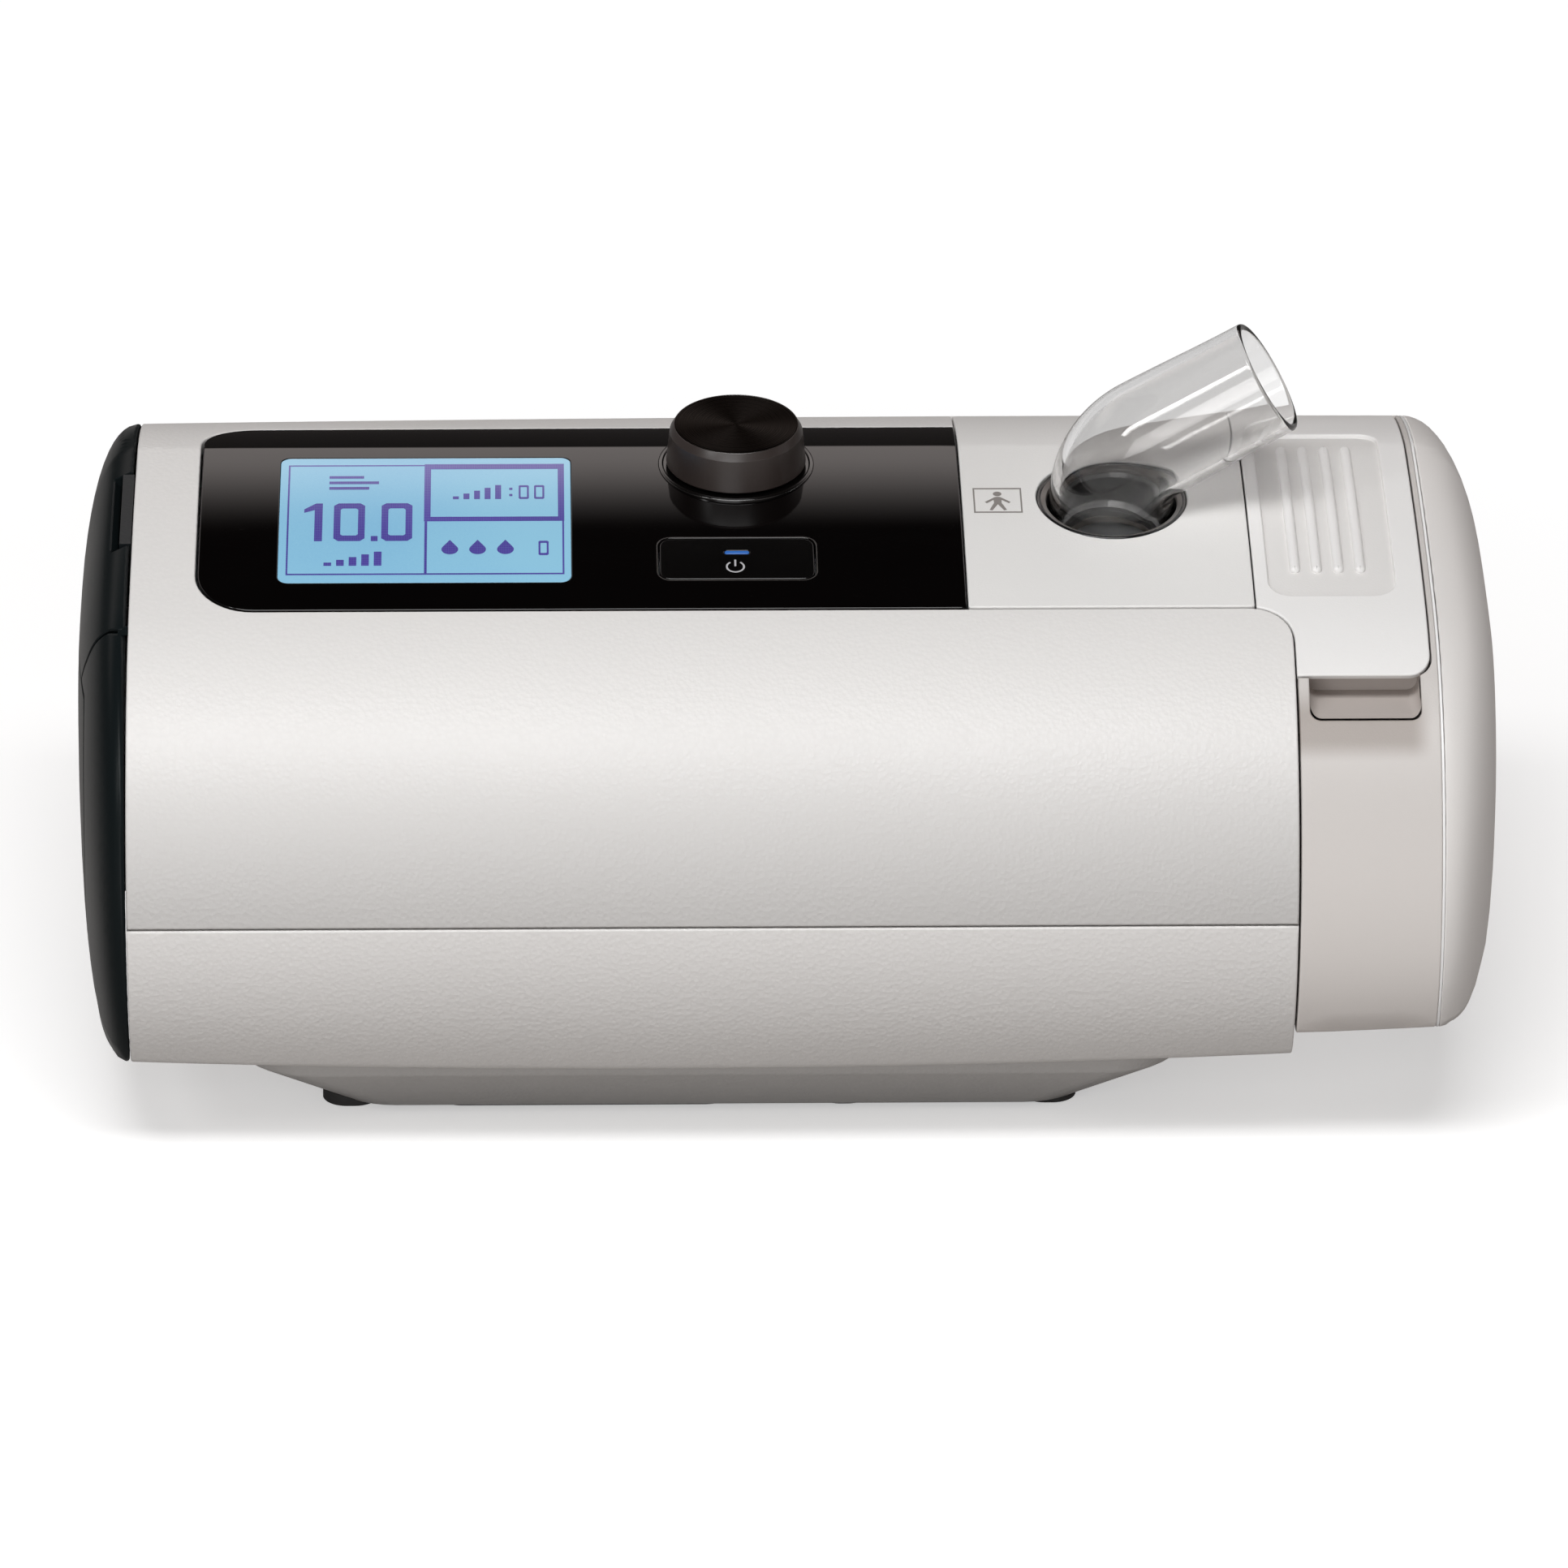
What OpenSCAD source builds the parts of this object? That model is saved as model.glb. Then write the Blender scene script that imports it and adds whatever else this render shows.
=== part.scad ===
// Bedside air-pressure therapy machine: blower housing with a slide-out water chamber.
// X runs to the right, Y to the back, Z up; the origin is under the middle of the box.

/* [Lengths along X] */
// Length of the white housing between the dark left cap and the water chamber
body_len = 211.8; // [190:0.2:240]
// How far the dark left cap bulges out of the housing
cap_depth = 10.7; // [8:0.1:14]
// Length of the chamber's straight band, outside the housing
band_len = 26.4; // [24:0.2:36]
// How far the chamber's domed end bulges out of the band
dome_depth = 12; // [9:0.1:15]
// Distance from the housing's left edge to the black panel
panel_offset = 12; // [9:0.2:16]
// Length of the white deck that carries the air outlet
deck_len = 52.6; // [48:0.2:56]
// Length of the ribbed cover's tongue over the housing
tongue_len = 6.4; // [5:0.2:8]

/* [Cross section] */
// Height of the crest above the table
crest_z = 104.9; // [98:0.1:112]
// Distance of the crest behind the middle
crest_y = 21; // [19:0.2:23]
// Radius of the sloping top
top_r = 273; // [250:1:300]
// Radius of the bulging front
front_r = 54; // [50:0.5:56]
// Radius of the lower front
lower_r = 45; // [43:0.5:49]
// Radius just behind the crest
crest_r = 80; // [74:1:90]
// Radius of the upper back
back_r = 43; // [41:0.5:45]
// Radius of the lower front edge
edge_r = 4; // [3:0.5:6]
// Radius of the lower back edge
back_edge_r = 18; // [14:0.5:22]
// Wall of the housing shells
wall = 2.4; // [2:0.1:3]
// Height of the seam between the upper and the lower shell
seam_z = 50; // [44:0.5:56]
// Open line between two fixed shells
seam_gap = 0.3; // [0.2:0.05:0.5]
// Clearance between fixed inner parts
inner_gap = 0.2; // [0.15:0.05:0.3]

/* [Top openings] */
// Front edge of the black panel, measured from the middle
panel_front = 32.9; // [31:0.1:36]
// Back edge of the black panel, measured from the middle
panel_back = 33.4; // [30:0.1:38]
// Corner radius of the black panel
panel_corner = 10.5; // [6:0.5:14]
// Thickness of the black panel
panel_t = 2; // [1.5:0.1:2.2]
// Width of the ledge that carries the black panel
ledge_w = 3; // [2:0.5:4]
// Depth of that ledge below the panel
ledge_t = 1.6; // [1.2:0.1:2]
// Corner radius at the right end of the front shell
front_corner = 8; // [5:0.5:10]
// Back edge of the deck, measured from the middle
deck_back = 46; // [42:0.5:50]

/* [Screen] */
// Distance from the panel's left edge to the middle of the screen
screen_x = 41.8; // [38:0.2:46]
// Distance of the middle of the screen in front of the middle
screen_y = 4; // [2:0.2:7]
// Width of the display glass
lcd_w = 57; // [50:0.5:60]
// Height of the display glass
lcd_h = 45; // [40:0.5:48]
// Thickness of the display glass
lcd_t = 2.2; // [1.5:0.1:3]
// Thickness of the backlight
light_t = 2.4; // [1.5:0.1:3]
// Depth of the glass below the panel's outer face
lcd_depth = 3.2; // [3:0.1:3.6]
// Thickness of every circuit board
board_t = 1.6; // [1.2:0.1:2]
// Rim of the display board around the glass
board_rim = 2.5; // [1.5:0.5:4]

/* [Knob] */
// Distance from the panel's left edge to the knob's axis
knob_x = 99.4; // [96:0.2:102]
// Distance of the knob's axis behind the middle
knob_y = 14; // [12:0.2:16]
// Diameter at the foot of the knob
knob_d = 25.8; // [22:0.2:27]
// Diameter at the shoulder of the knob
knob_top_d = 24.2; // [20:0.2:25.6]
// Diameter of the knob's face
knob_face_d = 22.4; // [18:0.2:24]
// Height of the knob itself
knob_h = 7.9; // [6:0.1:10]
// Free height under the knob
knob_lift = 0.9; // [0.8:0.1:1.2]
// Travel when the knob is pressed
knob_travel = 0.6; // [0.4:0.1:0.7]
// Diameter of the collar around the knob
collar_d = 29; // [28:0.2:32]
// Height of the collar above the panel
collar_h = 0.6; // [0.4:0.1:1]
// Diameter of the encoder's shaft
shaft_d = 6; // [5:0.1:6.4]
// Radial clearance of a shaft in its bearing
run_gap = 0.05; // [0.02:0.01:0.1]

/* [Power button] */
// Distance from the panel's left edge to the middle of the button
button_x = 99; // [96:0.2:102]
// Distance of the button in front of the middle
button_y = 18.2; // [17:0.2:19]
// Width of the button
button_w = 28.4; // [24:0.2:32]
// Height of the button
button_h = 12.2; // [10:0.2:13]
// Corner radius of the button
button_r = 2.2; // [1:0.2:4]
// Clearance around the button
button_gap = 0.25; // [0.15:0.05:0.4]
// Travel of the button
button_travel = 0.8; // [0.5:0.1:1]
// Width of the blue light bar
lamp_w = 4.5; // [3:0.1:6]

/* [Air outlet] */
// Distance from the deck's left edge to the outlet's axis
port_x = 27.9; // [26:0.1:30]
// Distance of the outlet's axis behind the middle
port_y = 1.5; // [0:0.1:3]
// Diameter of the outlet's recess in the deck
port_d = 28; // [26.4:0.2:30]
// Outer diameter of the clear elbow
tube_d = 22; // [20:0.1:23]
// Wall of the clear elbow
tube_wall = 1.3; // [1:0.1:2]
// Depth of the elbow below the deck
tube_sink = 8; // [6:0.2:9]
// Height of the elbow's bend point above the deck
bend_h = 8.2; // [7.6:0.1:12]
// Angle of the arm above the deck
arm_rise = 31.5; // [27:0.5:36]
// Distance from the bend point to the open end
arm_len = 33.2; // [30:0.2:40]
// Turn of the arm about the outlet, towards the back
arm_turn = 1; // [0:0.1:10]
// Length of the arm's end that a hose cuff slides over
cuff_len = 23; // [18:0.5:24]
// How much thicker the elbow is behind that end, so that the cuff stops
cuff_stop = 0.5; // [0.2:0.05:0.6]

/* [Water chamber] */
// Clearance between the chamber and its bay
chamber_gap = 0.8; // [0.5:0.1:1]
// Open line between the chamber and the housing
chamber_seam = 0.4; // [0.3:0.1:0.8]
// Wall of the chamber's outer band and dome
band_wall = 2.2; // [1.8:0.1:2.6]
// Wall of the bay
bay_wall = 1.6; // [1.4:0.1:2.2]
// Front half width of the bay
bay_front = 60; // [56:0.5:61]
// Back half width of the bay
bay_back = 62; // [56:0.5:64]
// Top of the bay above the table
bay_top = 87; // [85.6:0.1:87.2]
// Wall of the water tub
tub_wall = 2; // [1.6:0.1:2.6]
// Height of the tub's rim above the table
rim_z = 60; // [52:0.5:60.5]
// Thickness of the tub's gasket
gasket_t = 1.2; // [0.8:0.1:2]
// Front edge of the chamber's ribbed cover, measured from the middle
cover_front = 48.1; // [46:0.1:50]
// Distance from the ribbed cover's right edge to the parting line
cover_margin = 1.8; // [1.4:0.1:2.4]
// Corner radius of the ribbed cover
cover_corner = 4; // [2:0.5:6]
// Number of grip ribs
rib_count = 4; // [3:1:5]
// Distance between two grip ribs
rib_pitch = 4; // [3.4:0.1:4.4]
// Width of a grip rib
rib_w = 1.9; // [1.4:0.1:2.2]
// Height of the finger gap under the cover
finger_h = 5.6; // [5:0.1:6.4]
// Depth of the finger gap, measured along Y
finger_depth = 12; // [9:0.5:13]
// Distance of the heater plate from both ends of the bay
heater_margin = 11.5; // [9:0.5:20]
// Thickness of the heater plate
heater_t = 3.3; // [2.5:0.1:4]
// Diameter of the air way into and out of the chamber
airway_d = 18; // [14:0.5:19]

/* [Blower] */
// Distance from the housing's left edge to the blower's axis
blower_x = 50; // [47:0.5:52]
// Outer diameter of the blower's scroll
scroll_d = 76; // [70:1:78]
// Height of the scroll's lower half
scroll_h = 10; // [9:0.5:12]
// Wall of the scroll
scroll_wall = 1.8; // [1.4:0.1:2.2]
// Height of the seam between the scroll's halves
scroll_z = 58; // [56:0.5:60]
// Diameter of the impeller
impeller_d = 56; // [48:1:60]
// Number of impeller blades
blade_count = 11; // [7:1:15]
// Diameter of the motor
motor_d = 38; // [32:1:42]
// Height of the motor
motor_h = 19; // [15:0.5:20]
// Diameter of the motor's spindle
spindle_d = 3; // [2:0.1:4]
// Length of the air duct from the blower to the chamber's bay
duct_len = 22.4; // [18:0.2:26]

/* [Left cap] */
// Scale of the air-inlet cover's front edge against the cap's outline
inlet_scale = 0.7; // [0.66:0.01:0.74]
// Top of the air-inlet cover above the table
inlet_top = 80; // [74:0.5:84]
// Back edge of the air-inlet cover, measured from the middle
inlet_back = 40; // [34:0.5:46]
// Number of louvres in the air-inlet cover
louvre_count = 9; // [5:1:10]
// Distance between two louvres
louvre_pitch = 4.2; // [4:0.1:5]
// Width of the card's edge
card_w = 24; // [20:0.5:24]
// Thickness of the card
card_t = 2.1; // [1.4:0.1:2.2]
// Height of the card
card_h = 32; // [28:0.5:32]

/* [Base] */
// Height of the plinth's flat underside
plinth_z = 2; // [1.5:0.1:3]
// Length of the plinth's flat underside
plinth_len = 146; // [130:1:150]
// Front edge of the plinth's underside, measured from the middle
plinth_front = 46; // [42:0.5:50]
// How far the plinth spreads towards its top
plinth_spread = 18; // [14:0.5:20]
// How deep each rubber foot is let into the plinth
foot_sink = 0.8; // [0.5:0.1:1.2]
// Bore of the power inlet
jack_bore_d = 6.4; // [5.5:0.1:7]
// Diameter of the power inlet's centre pin
jack_pin_d = 2.1; // [1.7:0.1:2.5]
// Distance from the housing's left edge to the power inlet
jack_x = 52; // [40:1:70]

/* [Hidden] */
$fn = 64;
eps = 0.01;
exit_run = 2;

// places along X
total_len = cap_depth + body_len + band_len + dome_depth;
x_left = -total_len / 2 + cap_depth;
x_right = x_left + body_len;
x_part = x_right + band_len;
deck_x1 = x_right - tongue_len;
panel_x0 = x_left + panel_offset;
panel_x1 = deck_x1 - deck_len;
cover_x1 = x_part - cover_margin;
port_at = panel_x1 + port_x;
blower_at = x_left + blower_x;
duct_x0 = blower_at + scroll_d / 2 + exit_run + inner_gap;
duct_x1 = duct_x0 + duct_len;
bay_x0 = duct_x1 + inner_gap;
bay_len = x_right - bay_x0;

// cross section: tilts of the outward normal where one arc meets the next
crest_tilt = 4;
crest_back_tilt = 3;
brow_tilt = 15.5;
foot_tilt = 120;
shoulder_tilt = 20;
chamber_foot_tilt = 112;
chamber_edge_r = 3;
chamber_back_r = 14;

function centre(p, r, t, side) = p - r * [side * sin(t), cos(t)];
function on_arc(c, r, t, side) = c + r * [side * sin(t), cos(t)];
function arc(c, r, a, b, side, n) = [for (i = [1:n]) on_arc(c, r, a + (b - a) * i / n, side)];

crest = [crest_y, crest_z];
top_c = centre(crest, top_r, crest_tilt, -1);
front_c = centre(on_arc(top_c, top_r, brow_tilt, -1), front_r, brow_tilt, -1);
lower_c = centre(on_arc(front_c, front_r, 90, -1), lower_r, 90, -1);
crest_c = centre(crest, crest_r, crest_back_tilt, 1);
back_c = centre(on_arc(crest_c, crest_r, shoulder_tilt, 1), back_r, shoulder_tilt, 1);
back_y = back_c[0] + back_r;

// the cross section, drawn in by d, as a list of [y, z] points
function section(d, foot = foot_tilt, edge = edge_r, back_edge = back_edge_r) =
    let (start_f = asin(top_r * sin(crest_tilt) / (top_r - d)),
         start_b = asin(crest_r * sin(crest_back_tilt) / (crest_r - d)),
         edge_c = centre(on_arc(lower_c, lower_r, foot, -1), edge, foot, -1),
         bottom = edge_c[1] - edge,
         edge_in = max(edge - d, 0.05),
         back_in = max(back_edge - d, 0.05),
         heel_c = [back_y - back_edge, bottom + back_edge])
    concat([on_arc(top_c, top_r - d, start_f, -1)],
           arc(top_c, top_r - d, start_f, brow_tilt, -1, 5),
           arc(front_c, front_r - d, brow_tilt, 90, -1, 12),
           arc(lower_c, lower_r - d, 90, foot, -1, 5),
           arc([edge_c[0], bottom + d + edge_in], edge_in, foot, 180, -1, 4),
           [for (i = [0:6]) on_arc([heel_c[0], bottom + d + back_in], back_in, 180 - 15 * i, 1)],
           arc(back_c, back_r - d, 90, shoulder_tilt, 1, 10),
           [for (i = [1:3]) on_arc(crest_c, crest_r - d,
                                   shoulder_tilt + (start_b - shoulder_tilt) * i / 4, 1)]);

function chamber_section(d) = section(d, chamber_foot_tilt, chamber_edge_r, chamber_back_r);

underside_z = min([for (p = section(0)) p[1]]);
floor_z = underside_z + wall;

function top_tilt(y) = asin((top_c[0] - y) / top_r);
function top_z(y) = top_c[1] + top_r * cos(top_tilt(y));

// extrudes a [y, z] outline along X
module along_x(len) rotate([90, 0, 90]) linear_extrude(len) children();

module between_x(a, b) translate([a, 0, 0]) along_x(b - a) children();

// a slab that follows the top of the body between depths a and b
module skin(x0, x1, a, b) between_x(x0, x1) difference() {
    polygon(section(a));
    polygon(section(b));
}

// a local frame on the sloping top, its z axis along the outward normal
module on_top(x, y) translate([x, y, top_z(y)]) rotate([top_tilt(y), 0, 0]) children();

module tall(z0 = 80, h = 60) translate([0, 0, z0]) linear_extrude(h) children();

module rounded(w, h, r) {
    square([w - 2 * r, h], center = true);
    square([w, h - 2 * r], center = true);
    for (sx = [-1, 1], sy = [-1, 1]) translate([sx * (w / 2 - r), sy * (h / 2 - r)]) circle(r);
}

module tube(r_out, r_in, h) difference() {
    cylinder(r = r_out, h = h);
    translate([0, 0, -1]) cylinder(r = r_in, h = h + 2);
}

// plan of the black panel, grown by m: round corners on the left, square ones on the right
module panel_plan(m) {
    r = panel_corner + m;
    x0 = panel_x0 - m;
    y0 = -panel_front - m;
    y1 = panel_back + m;
    translate([x0 + r, y0]) square([panel_x1 + m - x0 - r, y1 - y0]);
    translate([x0, y0 + r]) square([r + 1, y1 - y0 - 2 * r]);
    for (y = [y0 + r, y1 - r]) translate([x0 + r, y]) circle(r);
}

// plan of everything in front of the deck, with the round corner at the chamber
module apron_plan(m) {
    r = front_corner + m;
    x1 = x_right + m;
    y1 = -panel_front + m;
    translate([x_left, -150]) square([x1 - r - x_left, 150 + y1]);
    translate([x1 - r - 1, -150]) square([r + 1, 150 + y1 - r]);
    translate([x1 - r, y1 - r]) circle(r);
}

// plan of the deck and ribbed cover together
module deck_plan(x0, x1) difference() {
    translate([x0, -panel_front - front_corner - 2])
        square([x1 - x0, deck_back + panel_front + front_corner + 2]);
    apron_plan(seam_gap);
}

module main_cover() color("whitesmoke") {
    difference() {
        skin(x_left, x_right, 0, wall);
        translate([x_left - 1, -100, 0])
            cube([body_len + 2, 200, seam_z + seam_gap / 2]);
        tall() panel_plan(seam_gap / 2);
        tall() deck_plan(panel_x1 - 1, x_right + 1);
    }
    // ledge that carries the black panel
    intersection() {
        skin(panel_x0 - ledge_w, panel_x1, panel_t, panel_t + ledge_t);
        tall() difference() {
            panel_plan(ledge_w);
            panel_plan(-ledge_w);
        }
    }
}

module base_shell() color("gainsboro") {
    difference() {
        skin(x_left, x_right, 0, wall);
        translate([x_left - 1, -100, seam_z - seam_gap / 2]) cube([body_len + 2, 200, 100]);
        // power inlet
        translate([x_left + jack_x, back_y + 1, jack_z]) rotate([90, 0, 0])
            cylinder(d = jack_hole_d, h = wall + 3);
    }
    // posts under the blower
    for (a = mount_angles) translate([blower_at, blower_y, 0])
        rotate(a) translate([mount_pcd / 2, 0, floor_z - 1])
            cylinder(d = mount_d, h = mount_z - floor_z + 1);
    // guides for the main board
    for (x = [board_x0 - guide_w, board_x0 + board_len + inner_gap])
        translate([x, board_y - 2, floor_z - 1]) cube([guide_w - inner_gap, 6, 24]);
}

// plinth under the housing, a shallow pan with sloping sides
plinth_corner = 14;
plinth_mid = [x_left + body_len / 2, 1];
plinth_depth = plinth_front * 2 + 2;
// height of the bend in its sloping sides, and the share of the spread reached there
plinth_bend = plinth_z + 9;
plinth_share = 0.8;

// level outline of the plinth at height z, spread by a share s and drawn in by d
module plinth_level(z, s, d) translate([plinth_mid[0], plinth_mid[1], z]) linear_extrude(eps)
    rounded(plinth_len + 2 * s * plinth_spread - 2 * d, plinth_depth + s * plinth_spread - 2 * d,
            plinth_corner - d, $fn = 32);

module plinth_form(d) hull() {
    plinth_level(plinth_z + d, 0, d);
    plinth_level(plinth_bend, plinth_share, d);
    plinth_level(underside_z - (d > 0 ? -1 : eps), 1, d);
}

module plinth() color("lightgray") difference() {
    plinth_form(0);
    plinth_form(wall);
    feet(foot_gap);
}

foot_d = 9;
foot_inset = 1.5;
// middle and straight length of each foot, as shares of the plinth's length
foot_spots = [[-0.455, 0.01], [-0.16, 0.31], [0.17, 0.01], [0.43, 0.01]];
foot_gap = 0.05;
module feet(grow) for (side = [-1, 1], f = foot_spots)
    translate([plinth_mid[0] + f[0] * plinth_len,
               plinth_mid[1] + side * (plinth_front - foot_inset - foot_d / 2), 0])
        linear_extrude(plinth_z + foot_sink + grow) {
            square([f[1] * plinth_len, foot_d + 2 * grow], center = true);
            for (e = [-1, 1]) translate([e * f[1] * plinth_len / 2, 0]) circle(d = foot_d + 2 * grow);
        }

module rubber_feet() color("dimgray") feet(0);

module display_lens() color([0.05, 0.04, 0.05]) difference() {
    intersection() {
        skin(panel_x0, panel_x1, 0, panel_t);
        tall() panel_plan(-seam_gap / 2);
    }
    on_top(panel_x0 + knob_x, knob_y) translate([0, 0, -6])
        cylinder(d = collar_d + 2 * inner_gap, h = 12);
    on_top(panel_x0 + button_x, -button_y) translate([0, 0, -6]) linear_extrude(12)
        rounded(button_w + 2 * button_gap, button_h + 2 * button_gap, button_r + button_gap);
}

// inner frame under the panel: holds the display, the encoder and the button's board
frame_d = panel_t + ledge_t + inner_gap;
frame_t = 2;
module panel_frame() color("slategray") {
    difference() {
        intersection() {
            skin(panel_x0 + 1, panel_x1 - 1, frame_d, frame_d + frame_t);
            tall(70, 60) panel_plan(-1);
        }
        on_top(panel_x0 + screen_x, -screen_y) translate([0, 0, -8])
            cube([lcd_w + 2 * inner_gap, lcd_h + 2 * inner_gap, 20], center = true);
        at_knob() translate([0, 0, -12]) cylinder(d = bush_d + 2 * inner_gap, h = 14);
        at_button() translate([0, 0, -8]) cube([12, 9, 12], center = true);
    }
    // posts that carry the button's board
    at_button() for (s = [-1, 1]) translate([s * 10, 0, switch_board_z + board_t])
        cylinder(d = 4, h = -frame_d - 0.5 - switch_board_z - board_t);
}

module lcd_glass() color("lightblue") on_top(panel_x0 + screen_x, -screen_y)
    translate([-lcd_w / 2, -lcd_h / 2, -lcd_depth - lcd_t]) cube([lcd_w, lcd_h, lcd_t]);

module lcd_backlight() color("white") on_top(panel_x0 + screen_x, -screen_y)
    translate([-lcd_w / 2, -lcd_h / 2, -lcd_depth - lcd_t - light_t]) cube([lcd_w, lcd_h, light_t]);

module display_board() color("darkgreen") on_top(panel_x0 + screen_x, -screen_y)
    translate([-lcd_w / 2 - board_rim, -lcd_h / 2 - board_rim, -lcd_depth - lcd_t - light_t - board_t])
        cube([lcd_w + 2 * board_rim, lcd_h + 2 * board_rim, board_t]);

// knob and rotary encoder
bush_d = 9;
bush_top = -panel_t - 0.5;
enc_top = -frame_d - frame_t - 0.3;
enc_h = 7.5;
enc_w = 14;
rotor_d = 10;
enc_floor = 1.5;
knob_wall = 1.8;
hub_d = 11;
knob_z0 = collar_h + knob_lift;
face_sink = 0.4;

module at_knob() on_top(panel_x0 + knob_x, knob_y) children();

module knob_collar() color("black") at_knob() translate([0, 0, -panel_t]) difference() {
    rotate_extrude() polygon([[0, 0], [collar_d / 2, 0], [collar_d / 2, panel_t + collar_h - 0.3],
                              [collar_d / 2 - 0.5, panel_t + collar_h], [0, panel_t + collar_h]]);
    translate([0, 0, -1]) cylinder(d = shaft_d + 1.2, h = panel_t + collar_h + 2);
}

module knob_body() color([0.08, 0.07, 0.07]) at_knob() translate([0, 0, knob_z0]) rotate_extrude() {
    polygon([[knob_d / 2 - knob_wall, 0], [knob_d / 2, 0], [knob_top_d / 2, knob_h - 0.8],
             [knob_face_d / 2 + 0.3, knob_h], [knob_face_d / 2, knob_h],
             [knob_face_d / 2, knob_h - face_sink], [0, knob_h - face_sink], [0, knob_h - 1.4],
             [shaft_d / 2, knob_h - 1.4], [shaft_d / 2, 1], [hub_d / 2, 1],
             [hub_d / 2, knob_h - 2.4], [knob_top_d / 2 - knob_wall, knob_h - 2.4]]);
}

module knob_face() color([0.12, 0.11, 0.11]) at_knob()
    translate([0, 0, knob_z0 + knob_h - face_sink]) cylinder(d = knob_face_d - 0.1, h = face_sink);

module encoder_shaft() color("silver") at_knob()
    translate([0, 0, enc_top - enc_h + enc_floor + knob_travel + 0.3])
        cylinder(d = shaft_d, h = knob_z0 + knob_h - 1.4 - (enc_top - enc_h + enc_floor + knob_travel + 0.3));

module encoder_rotor() color("ivory") at_knob() translate([0, 0, enc_top - enc_h + enc_floor + 0.3])
    difference() {
        union() {
            cylinder(r = rotor_d / 2, h = enc_h - enc_floor - 2);
            for (i = [0:23]) rotate(i * 15) translate([rotor_d / 2 - 0.3, 0, 0])
                cylinder(r = 0.5, h = 2, $fn = 16);
        }
        translate([0, 0, -1]) cylinder(d = shaft_d + 2 * run_gap, h = enc_h + 2);
    }

module encoder_housing() color("gray") at_knob() translate([0, 0, enc_top - enc_h]) difference() {
    union() {
        translate([-enc_w / 2, -enc_w / 2, 0]) cube([enc_w, enc_w, enc_h]);
        cylinder(d = bush_d, h = enc_h + bush_top - enc_top);
    }
    translate([0, 0, enc_floor]) cylinder(r = rotor_d / 2 + 0.8, h = enc_h - enc_floor - 1.4);
    translate([0, 0, enc_floor]) cylinder(d = shaft_d + 2 * run_gap, h = 20);
}

module encoder_board() color("darkgreen") at_knob()
    translate([-11, -11, enc_top - enc_h - board_t]) cube([22, 22, board_t]);

// power button with its lamp and switch
stem_z = -panel_t - 2.6;
switch_h = 3.3;
plunger_h = 0.5;
switch_board_z = stem_z - button_travel - 0.1 - plunger_h - switch_h - board_t;
lamp_y = 1.9;
lamp_h = 0.8;

module at_button() on_top(panel_x0 + button_x, -button_y) children();

module power_button() color([0.06, 0.05, 0.06]) {
    difference() {
        intersection() {
            skin(panel_x0, panel_x1, 0, panel_t - 0.2);
            at_button() translate([0, 0, -6]) linear_extrude(12) rounded(button_w, button_h, button_r);
        }
        at_button() translate([0, lamp_y, 0]) cube([lamp_w + 0.1, lamp_h + 0.1, 12], center = true);
    }
    at_button() translate([0, -1.5, stem_z]) cylinder(d = 4, h = -stem_z - 1.2);
}

module status_light() color([0.2, 0.35, 0.8]) at_button()
    translate([-lamp_w / 2, lamp_y - lamp_h / 2, -panel_t + 0.2]) cube([lamp_w, lamp_h, panel_t - 0.2]);

module button_switch() color("silver") at_button() translate([0, -1.5, switch_board_z + board_t]) {
    translate([-3, -3, 0]) cube([6, 6, switch_h]);
    cylinder(d = 3.2, h = switch_h + plunger_h);
}

module button_board() color("darkgreen") at_button()
    translate([-13, -6, switch_board_z]) cube([26, 12, board_t]);

// deck with the air outlet
module outlet_deck() color("whitesmoke") difference() {
    intersection() {
        skin(panel_x1 + seam_gap / 2, deck_x1 - seam_gap / 2, 0, wall);
        tall() deck_plan(panel_x1 + seam_gap / 2, deck_x1 - seam_gap / 2);
        tall() translate([panel_x1, -panel_front + seam_gap]) square([deck_len, deck_back + panel_front - 2 * seam_gap]);
    }
    at_port() translate([0, 0, -8]) cylinder(d = port_d, h = 16);
}

module at_port() on_top(port_at, port_y) children();

socket_d = port_d - 2 * 0.1;
socket_h = tube_sink + 2.5;
module outlet_socket() color("dimgray") at_port() rotate_extrude()
    polygon([[tube_d / 2 + run_gap, -tube_sink - 1.3], [tube_d / 2 + run_gap, -2.4],
             [tube_d / 2 + 0.5, -2.2], [socket_d / 2 - 0.5, -0.7], [socket_d / 2, -0.7],
             [socket_d / 2, -socket_h], [tube_d / 2 - 2.4, -socket_h], [tube_d / 2 - 2.4, -tube_sink - 1.3]]);

module elbow_seal() color("black") at_port() translate([0, 0, -tube_sink - 1.3])
    tube(tube_d / 2 - 0.1, tube_d / 2 - 2.2, 1.1);

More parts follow.
